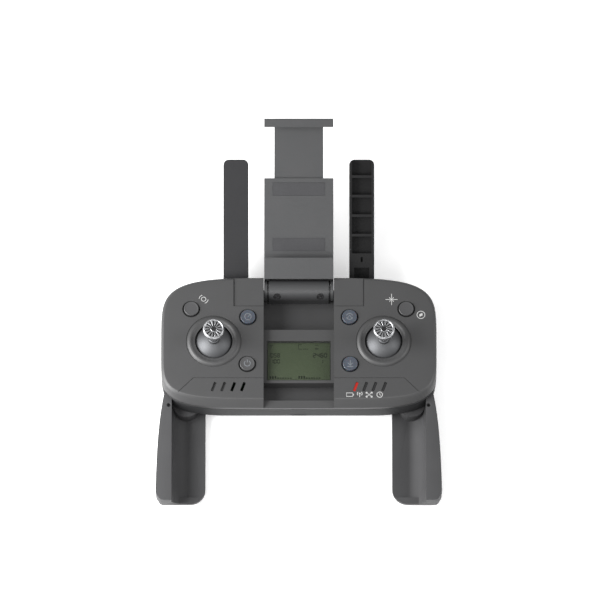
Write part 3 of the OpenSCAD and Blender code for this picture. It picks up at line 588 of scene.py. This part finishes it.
def antenna_room():
    reach = ANTENNA_W / 2 + SWING
    return at(turn(rod(ANTENNA_T / 2 + SWING, (-reach, reach)), 90, "Y"),
              ANTENNA_X, ANTENNA_Y, ANTENNA_Z)


def top_case():
    profile = eased([(SEAM, PART_Z, SEAM), (0, PART_Z + SEAM, 0), (0, FACE_Z - BEVEL_H, 0),
                     (0.1, FACE_Z - 1, 0.73 * BEVEL_W), (EDGE_R, FACE_Z, BEVEL_W),
                     (EDGE_R + 4, FACE_Z, BEVEL_W + 4)], [0.1, 0.8, 0.5, 0.7], 7)
    case = loft(profile)
    cut(case, loft([(WALL, PART_Z - 1, WALL), (WALL, FACE_Z - BEVEL_H - 0.3, WALL),
                    (WALL + 0.3, FACE_Z - WALL, BEVEL_W + 1.2)]))
    join(case, *both(face_ring))
    join(case, *both(lambda: block((CHANNEL_HALF - 0.2, TUB_HALF), (-HALF_L + 2.2, HALF_L - 1.6),
                                   (PART_Z, FACE_Z - WALL + 0.1))))
    join(case,
         block((-TUB_HALF + 0.1, TUB_HALF - 0.1), (-HALF_L + 1, WELL_Y), (PART_Z, FLOOR_Z)),
         block((-TUB_HALF, TUB_HALF), (WELL_Y - CHANNEL_WALL, HALF_L - WELL_WALL),
               (WELL_Z - WELL_FLOOR, PART_Z + 0.05)),
         block((-TUB_HALF, TUB_HALF), (FRONT_WELL[0] - WELL_WALL, FRONT_WELL[1] + WELL_WALL),
               (FRONT_WELL_Z - WELL_FLOOR, PART_Z + 0.05)))
    cut(case,
        block((-CHANNEL_HALF, CHANNEL_HALF), (-BEYOND, BEYOND), (FLOOR_Z, FACE_Z + 5)),
        block((-CHANNEL_HALF, CHANNEL_HALF), (WELL_Y, BEYOND), (WELL_Z, FACE_Z + 5)),
        block((-CHANNEL_HALF + 0.1, CHANNEL_HALF - 0.1), FRONT_WELL, (FRONT_WELL_Z, FACE_Z)))
    ledge = 0.5
    gap = 0.15
    cut(case,
        block((DISPLAY_X[0] - gap + ledge, DISPLAY_X[1] + gap - ledge),
              (DISPLAY_Y[0] - gap + ledge, DISPLAY_Y[1] + gap - ledge), (PART_Z - 1, FACE_Z)),
        block((DISPLAY_X[0] - gap, DISPLAY_X[1] + gap),
              (DISPLAY_Y[0] - gap, DISPLAY_Y[1] + gap), (WINDOW_Z[0], FACE_Z)),
        at(rod(3.7, (-1, 0.4)), 0, -HALF_L, PART_Z))
    cut(case, *both(lambda: at(rod(STICK_HOLE_R, (-6, 6), 160), STICK_X, 0, FACE_Z)))
    cut(case, *both(lambda: at(ball(DOME_R + DOME_GAP, 128), STICK_X, 0, PIVOT_Z)))
    cut(case, *both(ring_groove))
    cut(case, *both(lambda: block((CHANNEL_HALF - 1, PANEL_X), (PANEL_Y, BEYOND),
                                  (FACE_Z - 0.6, FACE_Z + 5))))
    panel = [(CHANNEL_HALF - 1, PANEL_Y), (PANEL_X, PANEL_Y), (PANEL_X, HALF_L + 1)]
    cut(case, *both(lambda: face_line(panel, 0.5, 0.95)))
    for x, y in button_places():
        cut(case,
            at(rod(BUTTON_HOLE_R, (FACE_Z - 6, FACE_Z + 2)), x, y),
            at(turned([(0, 0.1), (BUTTON_HOLE_R + 0.45, 0.1), (BUTTON_HOLE_R, -0.3), (0, -0.3)], 64),
               x, y, FACE_Z),
            at(rod(FLANGE_R + 0.25, (FACE_Z - 4, FACE_Z - WALL - 0.2)), x, y))
    for x, through in LEFT_SLOTS:
        cut(case, slanted_slot(x, (PART_Z if through else FACE_Z - BLIND_SLOT, FACE_Z + 1)))
    for x in RIGHT_SLOTS:
        cut(case, slanted_slot(x, (PART_Z, FACE_Z + 1)))
    edge = [(CHANNEL_HALF - 1, -HALF_L + 15.8), (56, -HALF_L + 15.8), (66.5, -HALF_L + 5.3)]
    cut(case, *both(lambda: face_line(edge)))
    soften(case, 0.16)
    return place(case, "top_case", CASE_ABS, "root", "case_plastic", "top_shell")


def grip_pocket():
    rx, rz = TROUGH_T - FLANGE_IN - SWING, TROUGH_EDGE_Z - TROUGH_Z - SWING
    back, ceiling = PIVOT_Y + LIP_T + SWING, RIM_Z + SWING
    curve = [(PIVOT_Y + TROUGH_T - rx * math.cos(math.radians(q)),
              max(TROUGH_EDGE_Z - rz * math.sin(math.radians(q)), ceiling))
             for q in range(0, 91, 5)]
    curve = [p for i, p in enumerate(curve) if not i or p[1] > ceiling or curve[i - 1][1] > ceiling]
    section = [(back, -1), (-HALF_L - 5, -1), (-HALF_L - 5, TROUGH_EDGE_Z)] + curve + [(back, ceiling)]
    bar = prism(section, (-HALF_W - 1, HALF_W + 1))
    return moved(bar, Matrix(((0, 0, 1, 0), (1, 0, 0, 0), (0, 1, 0, 0), (0, 0, 0, 1))))


def grip_rooms():
    """Room for a grip's tall wall on its way round the pivot post, on the right."""
    reach = 20
    high = PART_Z + 0.01
    corner = cut(block((0, reach), (-reach, 0), (-1, high)), rod(POST_R, (-2, 40), 96))
    return [at(corner, PIVOT_X, PIVOT_Y),
            at(block((POST_R, reach), (-reach, 4.8), (-1, high)), PIVOT_X, PIVOT_Y),
            at(rod(KNUCKLE_R + SWING, (-1, KNUCKLE_ROOM), 96), PIVOT_X, PIVOT_Y)]


def stadium(x, y, w, l, z):
    points = arc(x, y + (l - w) / 2, w / 2, 0, 180, 8) + arc(x, y - (l - w) / 2, w / 2, 180, 360, 8)
    return prism(points, z)


# The shells' screws, and the charging port: its half width, lowest and highest place
SCREWS = ((0.847 * HALF_W, 0.7065 * HALF_L), (24, HALF_L - 9.8), (22, -HALF_L + 7.3))
SCREW_BOSS_R, SCREW_WELL_R, SCREW_WELL_Z = 3.2, 2.6, 8
PORT = (3.7, PART_Z - 9.8, PART_Z - 7.2)


def bottom_case():
    def rings(wall, top):
        r = BACK_R - wall
        curve = []
        for q in range(0, 91, 6):
            inset = wall + r * (1 - math.sin(math.radians(q)))
            curve.append((inset, wall + r * (1 - math.cos(math.radians(q))), inset))
        return curve + top

    case = loft(rings(0, [(0, PART_Z - SEAM, 0), (SEAM, PART_Z, SEAM)]))
    hollow = loft(rings(WALL, [(WALL, PART_Z + 1, WALL)]))
    back, ceiling = PIVOT_Y + LIP_T + SWING, RIM_Z + SWING
    cut(hollow, block((-HALF_W, HALF_W), (-HALF_L, back + WALL), (0, ceiling + WALL)))
    for s in (-1, 1):
        cut(hollow, at(rod(KNUCKLE_R + SWING + WALL, (0, KNUCKLE_ROOM + WALL)),
                       s * PIVOT_X, PIVOT_Y))
        cut(hollow, at(rod(POST_R, (0, PART_Z + 2), 96), s * PIVOT_X, PIVOT_Y))
        cut(hollow, block(sorted((s * (ANTENNA_X - 8.6), s * (ANTENNA_X + 8.6))),
                          (HALF_L - 6.3, HALF_L + 1), (ANTENNA_Z - 7, ANTENNA_Z + 7)))
        for x, y in SCREWS:
            cut(hollow, at(rod(SCREW_BOSS_R, (0, PART_Z - 6.9)), s * x, y))
    cut(case, hollow)
    cut(case, grip_pocket())
    for s in (-1, 1):
        cut(case, *[room if s > 0 else mirrored(room) for room in grip_rooms()])
        for x, y in SCREWS:
            cut(case, at(rod(SCREW_WELL_R, (-1, SCREW_WELL_Z)), s * x, y))
        notch = antenna_room()
        cut(notch, block((ANTENNA_X - TONGUE_W / 2, ANTENNA_X + TONGUE_W / 2),
                         (ANTENNA_Y - 10, ANTENNA_Y + 10), (0, 30)))
        cut(case, notch if s > 0 else mirrored(notch))
        tongue = turn(rod(TONGUE_R, (-TONGUE_W / 2, TONGUE_W / 2)), 90, "Y")
        join(tongue, block((-TONGUE_W / 2 + 0.01, TONGUE_W / 2 - 0.01), (-5, 0), (-TONGUE_R, TONGUE_R)))
        cut(tongue, turn(rod(ANTENNA_PIN_R, (-9, 9)), 90, "Y"))
        join(case, at(tongue, s * ANTENNA_X, ANTENNA_Y, ANTENNA_Z))
    cut(case, block((-TUB_HALF - 0.2, TUB_HALF + 0.2), (WELL_Y - CHANNEL_WALL - 0.2, BEYOND),
                    (WELL_Z - WELL_FLOOR - 0.2, PART_Z + 5)))
    cut(case, block((-PORT[0], PORT[0]), (-BEYOND, -HALF_L + 3), PORT[1:]))
    for i in range(-2, 3):
        cut(case, stadium(i * 2.6, WELL_Y + 4, 1.2, 7 - abs(i) * 0.9, (-1, WALL + 1)))
    soften(case, 0.2)
    # The lower case's colour is darkened as painted shade.
    return place(case, "bottom_case", LOWER_ABS_PAINTED_SHADE, "root", "lower_case_plastic", "bottom_shell")


# ---- Grips ----

def grip_edge(s):
    return -11 - 5.3 * (1 - math.exp(-(s + 4.5) / 24))


def grip_plan():
    """The left grip from above, from its pivot: bowed outer side, one chamfered and one
    round corner at its end."""
    side = [(grip_edge(s), -s) for s in [i * (GRIP_L - 0.5) / 40 - 4.5 for i in range(43)]
            if s < GRIP_L - 3.6]
    end = grip_edge(GRIP_L)
    corner = 8
    chamfer = eased([side[-1], (end + 0.3, -GRIP_L + 3.6), (end + 2.6, -GRIP_L), (0, -GRIP_L)],
                    [1.2, 1.2], 4)[1:-1]
    inner = [(LIP_T - corner + corner * math.sin(math.radians(q)),
              -GRIP_L + corner - corner * math.cos(math.radians(q))) for q in range(0, 91, 6)]
    return side + chamfer + inner + [(LIP_T, 4.5)]


def grip_section():
    """Across the grip: a tall outer wall, a round trough for the fingers and a low lip."""
    rx, rz = TROUGH_T - FLANGE_IN, TROUGH_EDGE_Z - TROUGH_Z
    trough = [(TROUGH_T - rx * math.cos(math.radians(q)), TROUGH_EDGE_Z - rz * math.sin(math.radians(q)))
              for q in range(0, 91, 5)]
    return ([(-20, GRIP_UNDER), (-20, GRIP_TOP), (FLANGE_IN, GRIP_TOP)] + trough
            + [(LIP_T, LIP_Z), (LIP_T + 1, LIP_Z), (LIP_T + 1, GRIP_UNDER)])


def grip_shape():
    long_bar = prism(grip_section(), (-12, GRIP_L + 8))
    body = moved(long_bar, Matrix(((1, 0, 0, 0), (0, 0, -1, 0), (0, 1, 0, 0), (0, 0, 0, 1))))
    lean = 13
    foot = GRIP_L - 4.5           # low wall across the end of the trough
    join(body, block((FLANGE_IN - 1, LIP_T + 0.5), (-foot - 4, -foot + 2.6), (GRIP_UNDER, RIM_Z)))
    keep(body, prism(grip_plan(), (GRIP_UNDER - 1, GRIP_TOP + 1)))
    # The plan, tipped about its top edge, gives the leaning end face its round corner.
    corner_reach = 12.5
    end = turn(at(prism(grip_plan(), (-40, 20)), 0, GRIP_L), lean, "X")
    rest = block((-30, 30), (corner_reach - GRIP_L, 30), (-1, 40))
    keep(body, join(at(end, 0, -GRIP_L, GRIP_TOP), rest))
    # Under the case there are only the tall wall, the lip and a disc round the pivot.
    for front, low in ((-HALF_L - PIVOT_Y - 0.4, RIM_Z), (-3, -1)):
        cut(body, cut(block((FLANGE_IN, 20), (front, 20), (low, 30)), rod(KNUCKLE_R, (-2, 40), 96)))
    cut(body, rod(POST_R + 0.3, (KNUCKLE_TOP, 40), 96))
    cut(body, block((FLANGE_IN, 20), (-1.5, 20), (KNUCKLE_TOP, 40)))
    join(body, rod(7, (GRIP_UNDER + 2.9, KNUCKLE_TOP), 96))
    soften(body, 0.7, 4, 32)
    for i in range(4):
        near = -11.5 - i * 9.6
        cut(body, block((-13.2, -9.4), (near - 8, near), (-1, GRIP_TOP - 2.4)))
    cut(body, rod(PIVOT_HEAD_R, (-1, 3.6), 64))
    cut(body, rod(PIVOT_BORE_R, (-1, 30), 64))
    cut(body, at(turned([(0, 1), (1.25, 1), (1.25, 0.0), (0.95, -0.3), (0.95, -2), (0, -2)], 40),
                 -8.9, -4, GRIP_TOP))
    return body


def grips():
    for side, body in ((-1, "left_grip"), (1, "right_grip")):
        shape = at(grip_shape(), -PIVOT_X, PIVOT_Y)
        if side > 0:
            mirrored(shape)
        place(shape, body + "_moulding", GRIP_ABS, body, "grip_plastic", body, smooth=40)


# ---- Sticks ----

def stick_cap():
    """A round finger cap: a bright rim round a ring of teeth."""
    t = CAP_TOP
    profile = eased(
        [(0, t - 4.3), (CAP_R - 0.9, t - 4.3), (CAP_R, t - 3.4), (CAP_R, t - 0.9),
         (CAP_R - 0.6, t), (4.6, t - 0.2), (4.45, t - 0.95), (1.75, t - 0.95), (1.6, t - 0.5),
         (0, t - 0.55)],
        [0.3, 0.6, 0.7, 0.5, 0.3, 0.2, 0.2, 0.3], 5)
    cap = turned(profile, 128)
    teeth = 14
    for i in range(teeth):
        tooth = prism([(1.8, -0.14), (4.7, -0.62), (4.7, 0.62), (1.8, 0.14)], (t - 1.3, t - 0.28))
        soften(tooth, 0.13, 3)
        join(cap, turn(tooth, 360 * i / teeth, "Z"))
    return cap


def cap_waist():
    """The tapered waist below the cap, left unsprayed."""
    t = CAP_TOP
    return turned(eased([(0, t - 9), (2.6, t - 9), (3.1, t - 7.6), (CAP_R - 1.0, t - 4.2), (0, t - 4.2)],
                        [0.3, 1.0, 0.1], 5), 96)


def cap_shade_and_centre():
    """A black ring in the dish between the teeth, as painted shade, and a black disc on the button in its
    middle.
    """
    t = CAP_TOP
    dish = turned([(1.72, t - 0.97), (4.5, t - 0.97), (4.5, t - 0.9), (1.72, t - 0.9)], 96)
    middle = turned([(0, t - 0.6), (1.45, t - 0.6), (1.4, t - 0.46), (0, t - 0.51)], 48)
    return merged([dish, middle])


def sticks():
    for side, name in ((-1, "left"), (1, "right")):
        place(at(stick_cap(), side * STICK_X), name + "_finger_cap", CAP_SILVER, name + "_stick",
              "silver_plastic", name + "_stick_cap", smooth=40)
        place(at(cap_waist(), side * STICK_X), name + "_cap_waist", CAP_PLASTIC, name + "_stick",
              "silver_plastic", smooth=40)
        # The black ring in the dish is painted shade between the teeth.
        place(at(cap_shade_and_centre(), side * STICK_X), name + "_cap_shade_and_centre", CAP_SHADE_AND_CENTRE, name + "_stick",
              "silver_plastic")
        arc_out = [(DOME_R * math.sin(math.radians(q)), DOME_R * math.cos(math.radians(q)))
                   for q in range(15, 76, 2)]
        inner = DOME_R - DOME_T
        arc_in = [(inner * math.sin(math.radians(q)), inner * math.cos(math.radians(q)))
                  for q in range(75, 14, -3)]
        collar = eased([(2.25, DOME_R - 4), (2.25, DOME_R + 1.3), (2.9, DOME_R + 1.0), arc_out[0]],
                       [0.1, 0.4], 4)
        dome = turned(collar + arc_out[1:] + arc_in, 160)
        place(at(dome, side * STICK_X, 0, PIVOT_Z), name + "_dome", DOME_SILVER, name + "_stick",
              "silver_plastic", name + "_stick_dome", smooth=40)
        dress(name + "_stick_shaft", STEEL)
        dress(name + "_gimbal_base", GIMBAL_NYLON, 0.3)
        dress(name + "_gimbal_frame", GIMBAL_NYLON, 0.2)
        dress(name + "_pitch_pot", POT_PLASTIC, 0.15)
        dress(name + "_roll_pot", POT_PLASTIC, 0.15)
        dress(name + "_springs", STEEL)


# ---- Buttons and their signs ----

def button_cap(recess):
    """A button: rounded shoulder, faint dish, flange and stem."""
    low = span("power_button", 2)[0]
    flange = FACE_Z - WALL - 1.4
    top = BUTTON_TOP
    return turned(eased(
        [(0, low), (1.5, low), (1.5, flange), (FLANGE_R, flange), (FLANGE_R, flange + 1),
         (BUTTON_R, flange + 1), (BUTTON_R, top), (BUTTON_R - 0.9, top - recess), (0, top - recess)],
        [0.2, 0.1, 0.1, 0.1, 0.05, 0.5, 0.3], 5), 96)


def sign(name, strokes, body, slot, material=None):
    place(merged(strokes), name, material or PRINT_WHITE, body, slot)


def buttons():
    for node in BUTTONS:
        lit = "speed" in node or "flip" in node or "land" in node
        x, y = button_at(node)
        place(at(button_cap(0.12 if lit else 0.18), x, y), node + "_cap",
              LIT_BUTTON if lit else BUTTON_ABS, node,
              "lit_button_plastic" if lit else "button_plastic", node, smooth=40)
    z = (BUTTON_TOP - 0.2, BUTTON_TOP - 0.09)
    x, y = button_at("power_button")
    sign("power_sign", [ribbon(arc(x, y, 1.6, 125, 415, 32), 0.34, z),
                        ribbon([(x, y + 0.5), (x, y + 2.2)], 0.34, z)],
         "power_button", "button_plastic", PRINT_GREY)
    x, y = button_at("left_speed_button")
    sign("speed_sign", [ribbon(arc(x, y, 1.7, -50, 230, 32), 0.32, z),
                        ribbon([(x, y - 0.3), (x + 0.9, y + 1.0)], 0.32, z),
                        ribbon([(x - 1.0, y - 1.9), (x + 1.0, y - 1.9)], 0.32, z)],
         "left_speed_button", "lit_button_plastic", PRINT_GREY)
    x, y = button_at("right_flip_button")
    sign("flip_sign", [ribbon(arc(x, y, 1.7, 20, 160, 20), 0.32, z),
                       ribbon(arc(x, y, 1.7, 200, 340, 20), 0.32, z),
                       ribbon([(x - 1.1, y - 0.8), (x, y + 0.8), (x + 1.1, y - 0.8)], 0.32, z)],
         "right_flip_button", "lit_button_plastic", PRINT_GREY)
    x, y = button_at("right_land_button")
    sign("land_sign", [ribbon([(x, y + 1.8), (x, y - 0.9)], 0.34, z),
                       ribbon([(x - 1.3, y + 0.3), (x, y - 1.1), (x + 1.3, y + 0.3)], 0.34, z),
                       ribbon([(x - 1.6, y - 1.8), (x + 1.6, y - 1.8)], 0.34, z)],
         "right_land_button", "lit_button_plastic", PRINT_GREY)


def face_signs():
    """Plain signs printed on the face, beside the buttons and under the lights."""
    z = (FACE_Z - 0.05, FACE_Z + 0.03)
    w = 0.34
    x, y = -50.6, 24.0
    waves = [ribbon(arc(x, y, 1.2, 0, 342, 20), 0.28, z, True)]
    waves += [ribbon(arc(x, y, 2.4, start, start + 70, 10), 0.28, z) for start in (-75, 105)]
    sign("photo_sign", waves, "root", "case_plastic")
    x, y = 49.3, 23.8
    rays = []
    for i in range(8):
        a = math.radians(45 * i)
        reach = 3.2 if i % 2 == 0 else 1.7
        rays.append(ribbon([(x + 0.7 * math.cos(a), y + 0.7 * math.sin(a)),
                            (x + reach * math.cos(a), y + reach * math.sin(a))], 0.3, z))
    sign("light_sign", rays + [at(rod(0.55, z, 24), x, y)], "root", "case_plastic")
    x, y = 64.9, 15.0
    sign("video_sign", [ribbon(arc(x, y, 2.1, 0, 351, 40), w, z, True),
                        prism([(x - 0.7, y - 1.1), (x + 0.9, y - 0.2), (x + 0.7, y + 1.1),
                               (x - 0.9, y + 0.2)], z)],
         "root", "case_plastic")
    y = -30.6
    x = 27.1
    sign("battery_sign", [ribbon([(x - 1.8, y - 1.0), (x + 1.5, y - 1.0), (x + 1.5, y + 1.0),
                                  (x - 1.8, y + 1.0)], w, z, True),
                          ribbon([(x + 1.9, y - 0.5), (x + 1.9, y + 0.5)], 0.4, z)],
         "root", "case_plastic")
    x = 32.3
    sign("signal_sign", [ribbon([(x, y - 1.4), (x, y + 0.4)], w, z), at(rod(0.5, z, 20), x, y + 0.6),
                         ribbon(arc(x, y + 0.6, 1.3, -45, 45, 8), w, z),
                         ribbon(arc(x, y + 0.6, 1.3, 135, 225, 8), w, z)],
         "root", "case_plastic")
    x = 37.3
    sign("craft_sign", [ribbon([(x - 1.2, y - 1.0), (x + 1.2, y + 1.0)], w, z),
                        ribbon([(x - 1.2, y + 1.0), (x + 1.2, y - 1.0)], w, z)]
         + [at(rod(0.55, z, 20), x + sx * 1.3, y + sy * 1.1) for sx in (-1, 1) for sy in (-1, 1)],
         "root", "case_plastic")
    x = 42.9
    sign("timer_sign", [ribbon(arc(x, y, 1.5, 0, 345, 30), w, z, True),
                        ribbon([(x, y + 0.9), (x, y), (x + 0.7, y - 0.4)], 0.3, z)],
         "root", "case_plastic")


# ---- Display ----

SEGMENTS = {"0": "abcdef", "1": "bc", "2": "abged", "3": "abgcd", "4": "fgbc", "5": "afgcd",
            "6": "afgedc", "7": "abc", "8": "abcdefg", "9": "abcdfg"}


def digit(number, x, y, w, h, z):
    """A seven-segment digit with its lower left corner at x, y."""
    t = h * 0.2
    places = {"a": ((0, h), (w, h)), "g": ((0, h / 2), (w, h / 2)), "d": ((0, 0), (w, 0)),
              "f": ((0, h / 2), (0, h)), "b": ((w, h / 2), (w, h)),
              "e": ((0, 0), (0, h / 2)), "c": ((w, 0), (w, h / 2))}
    strokes = []
    for key in SEGMENTS[number]:
        (x0, y0), (x1, y1) = places[key]
        gap_x = t * 0.15 * (x1 > x0)
        gap_y = t * 0.35 * (y1 > y0)
        strokes.append(ribbon([(x + x0 + gap_x, y + y0 + gap_y), (x + x1 - gap_x, y + y1 - gap_y)], t, z))
    return strokes


def display():
    pane = block(DISPLAY_X, DISPLAY_Y, WINDOW_Z)
    soften(pane, 0.15, 3)
    place(pane, "display_pane", CLEAR, "root", "display_cover", "display_window")
    glass_x, glass_y = span("display_glass", 0), span("display_glass", 1)
    glass = block(glass_x, glass_y, GLASS_Z)
    soften(glass, 0.1)
    place(glass, "display_cell", LCD_OLIVE, "root", "display_glass", "display_glass")
    z = (GLASS_Z[1] - 0.02, GLASS_Z[1] + 0.03)
    left, right = DISPLAY_X[0] + 2.0, DISPLAY_X[1] - 2.0
    low, high = DISPLAY_Y[0] + 1.4, DISPLAY_Y[1] - 1.2
    ink = []
    # top row: aerial, link bars, small battery
    ink += [ribbon([(left + 0.2, high - 2.2), (left + 0.2, high - 0.6)], 0.3, z),
            ribbon([(left - 0.7, high - 0.6), (left + 1.1, high - 0.6)], 0.3, z)]
    middle = (left + right) / 2
    ink.append(ribbon([(middle + 1.6, high), (middle - 0.2, high), (middle - 0.2, high - 2.6),
                       (middle + 1.6, high - 2.6)], 0.32, z))
    for i in range(3):
        x = middle + 2.4 + i * 0.9
        ink.append(ribbon([(x, high - 2.6), (x + 0.5, high - 2.6)], 0.5, z))
    ink += [ribbon([(right - 6.2, high - 0.3), (right - 4.4, high - 0.3)], 0.3, z),
            ribbon([(right - 6.2, high - 2.4), (right - 4.4, high - 2.4)], 0.55, z)]
    # two readings at the left, and one at the right with its channel below
    for row, text in enumerate(("058", "100")):
        for i, number in enumerate(text):
            ink += digit(number, left + i * 1.75, high - 7.2 - row * 3.4, 1.15, 2.1, z)
    for i, number in enumerate("2460"):
        ink += digit(number, right - 7.2 + i * 1.95, high - 7.2, 1.3, 2.2, z)
    ink += digit("1", right - 3.0, high - 10.6, 0.9, 2.1, z)
    # trim rows along the bottom
    for start in (left - 0.2, middle + 0.2):
        for i in range(9):
            tall = 1.6 if i < 3 else 0.7
            x = start + i * 1.35
            ink.append(ribbon([(x, low), (x, low + tall)], 0.8, z))
    place(merged(ink), "display_segments", LCD_INK, "root", "display_glass")
    dress("display_backlight", DIFFUSER, 0.3)


def lights():
    """Four smoked light pipes under the right-hand slots; the first one is lit."""
    z = (span("status_light_pipes", 2)[0], FACE_Z - 0.3)
    for i, x in enumerate(RIGHT_SLOTS):
        pipe = slanted_slot(x, z, -0.1)
        soften(pipe, 0.08)
        if i == 0:
            place(pipe, "light_pipe_1", RED_PIPE, "root", "light_pipe", "status_light_pipes")
        else:
            place(pipe, f"light_pipe_{i + 1}", DARK_PIPE, "root", "light_pipe")


# ---- Carried-over nodes ----

def hardware():
    for node in ("clamp_arm", "clamp_slider"):
        dress(node, CLAMP_ABS, 0.35, 3)
    dress("clamp_back_cover", CLAMP_ABS, 0.2)
    dress("hinge_block", CLAMP_ABS, 0.25)
    dress("left_antenna", ANTENNA_ABS, 0.45, 3)
    dress("right_antenna", DARK_ABS, 0.3, 3)
    for node in ("lower_jaw_pad", "upper_jaw_pad", "arm_pads"):
        dress(node, PAD_RUBBER, 0.08)
    dress("hinge_screws", BLOCK_SCREW, 0.08)
    for node in ("hinge_pin", "antenna_pins", "grip_pivot_screws", "clamp_spring", "usb_socket"):
        dress(node, STEEL, 0.08)
    for node in ("shell_screws", "cover_screws"):
        dress(node, BLACK_STEEL, 0.1)
    dress("hinge_washers", WASHER_NYLON, 0.1)
    for node in ("main_board", "button_boards", "radio_module"):
        dress(node, SOLDER_MASK, 0.05)
    dress("tact_switches", COMPONENT, 0.1)
    dress("speaker", COMPONENT, 0.3)
    dress("led_chips", LED_EPOXY, 0.08)
    dress("battery_pack", BATTERY_FILM, 1.2, 4)


# ---- Stage ----

def stage():
    bpy.context.scene.view_settings.view_transform = "Standard"
    world = bpy.data.worlds.new("studio")
    bpy.context.scene.world = world
    world.use_nodes = True
    background = world.node_tree.nodes["Background"]
    background.inputs["Color"].default_value = (1.0, 1.0, 1.0, 1.0)
    background.inputs["Strength"].default_value = 0.35

    floor = block((-1500, 1500), (-1500, 1500), (-3, -0.02))
    floor.name = "floor"
    floor.data.transform(Matrix.Scale(MM, 4))
    floor.data.materials.append(FLOOR_OPAL)

    def softbox(name, place_mm, aim_mm, size_mm, watts):
        light = bpy.data.lights.new(name, "AREA")
        light.shape = "RECTANGLE"
        light.size, light.size_y = size_mm[0] * MM, size_mm[1] * MM
        light.energy = watts
        lamp = bpy.data.objects.new(name, light)
        lamp.location = Vector(place_mm) * MM
        lamp.rotation_euler = (Vector(aim_mm) - Vector(place_mm)).to_track_quat("-Z", "Y").to_euler()
        bpy.context.scene.collection.objects.link(lamp)

    softbox("key_softbox", (-430, -80, 300), (0, 0, 10), (380, 460), 7.0)
    softbox("fill_softbox", (620, -60, 480), (0, 0, 10), (300, 460), 2.5)
    softbox("front_softbox", (0, -560, 800), (0, 0, 10), (700, 300), 2.5)

    # The lens stands 22 degrees off the face's normal, towards the grips.
    elevation = math.radians(68)
    aim = Vector((3.83, 22.5, 20.0))
    sensor, focal, width_seen = 36.0, 800.0, 325.5
    away = Vector((0, -math.cos(elevation), math.sin(elevation)))
    data = bpy.data.cameras.new("camera")
    data.sensor_width = sensor
    data.lens = focal
    camera = bpy.data.objects.new("camera", data)
    camera.location = (aim + away * (focal / sensor * width_seen)) * MM
    camera.rotation_euler = (-away).to_track_quat("-Z", "Y").to_euler()
    bpy.context.scene.collection.objects.link(camera)
    bpy.context.scene.camera = camera


top_case()
bottom_case()
grips()
sticks()
buttons()
face_signs()
display()
lights()
hardware()
stage()
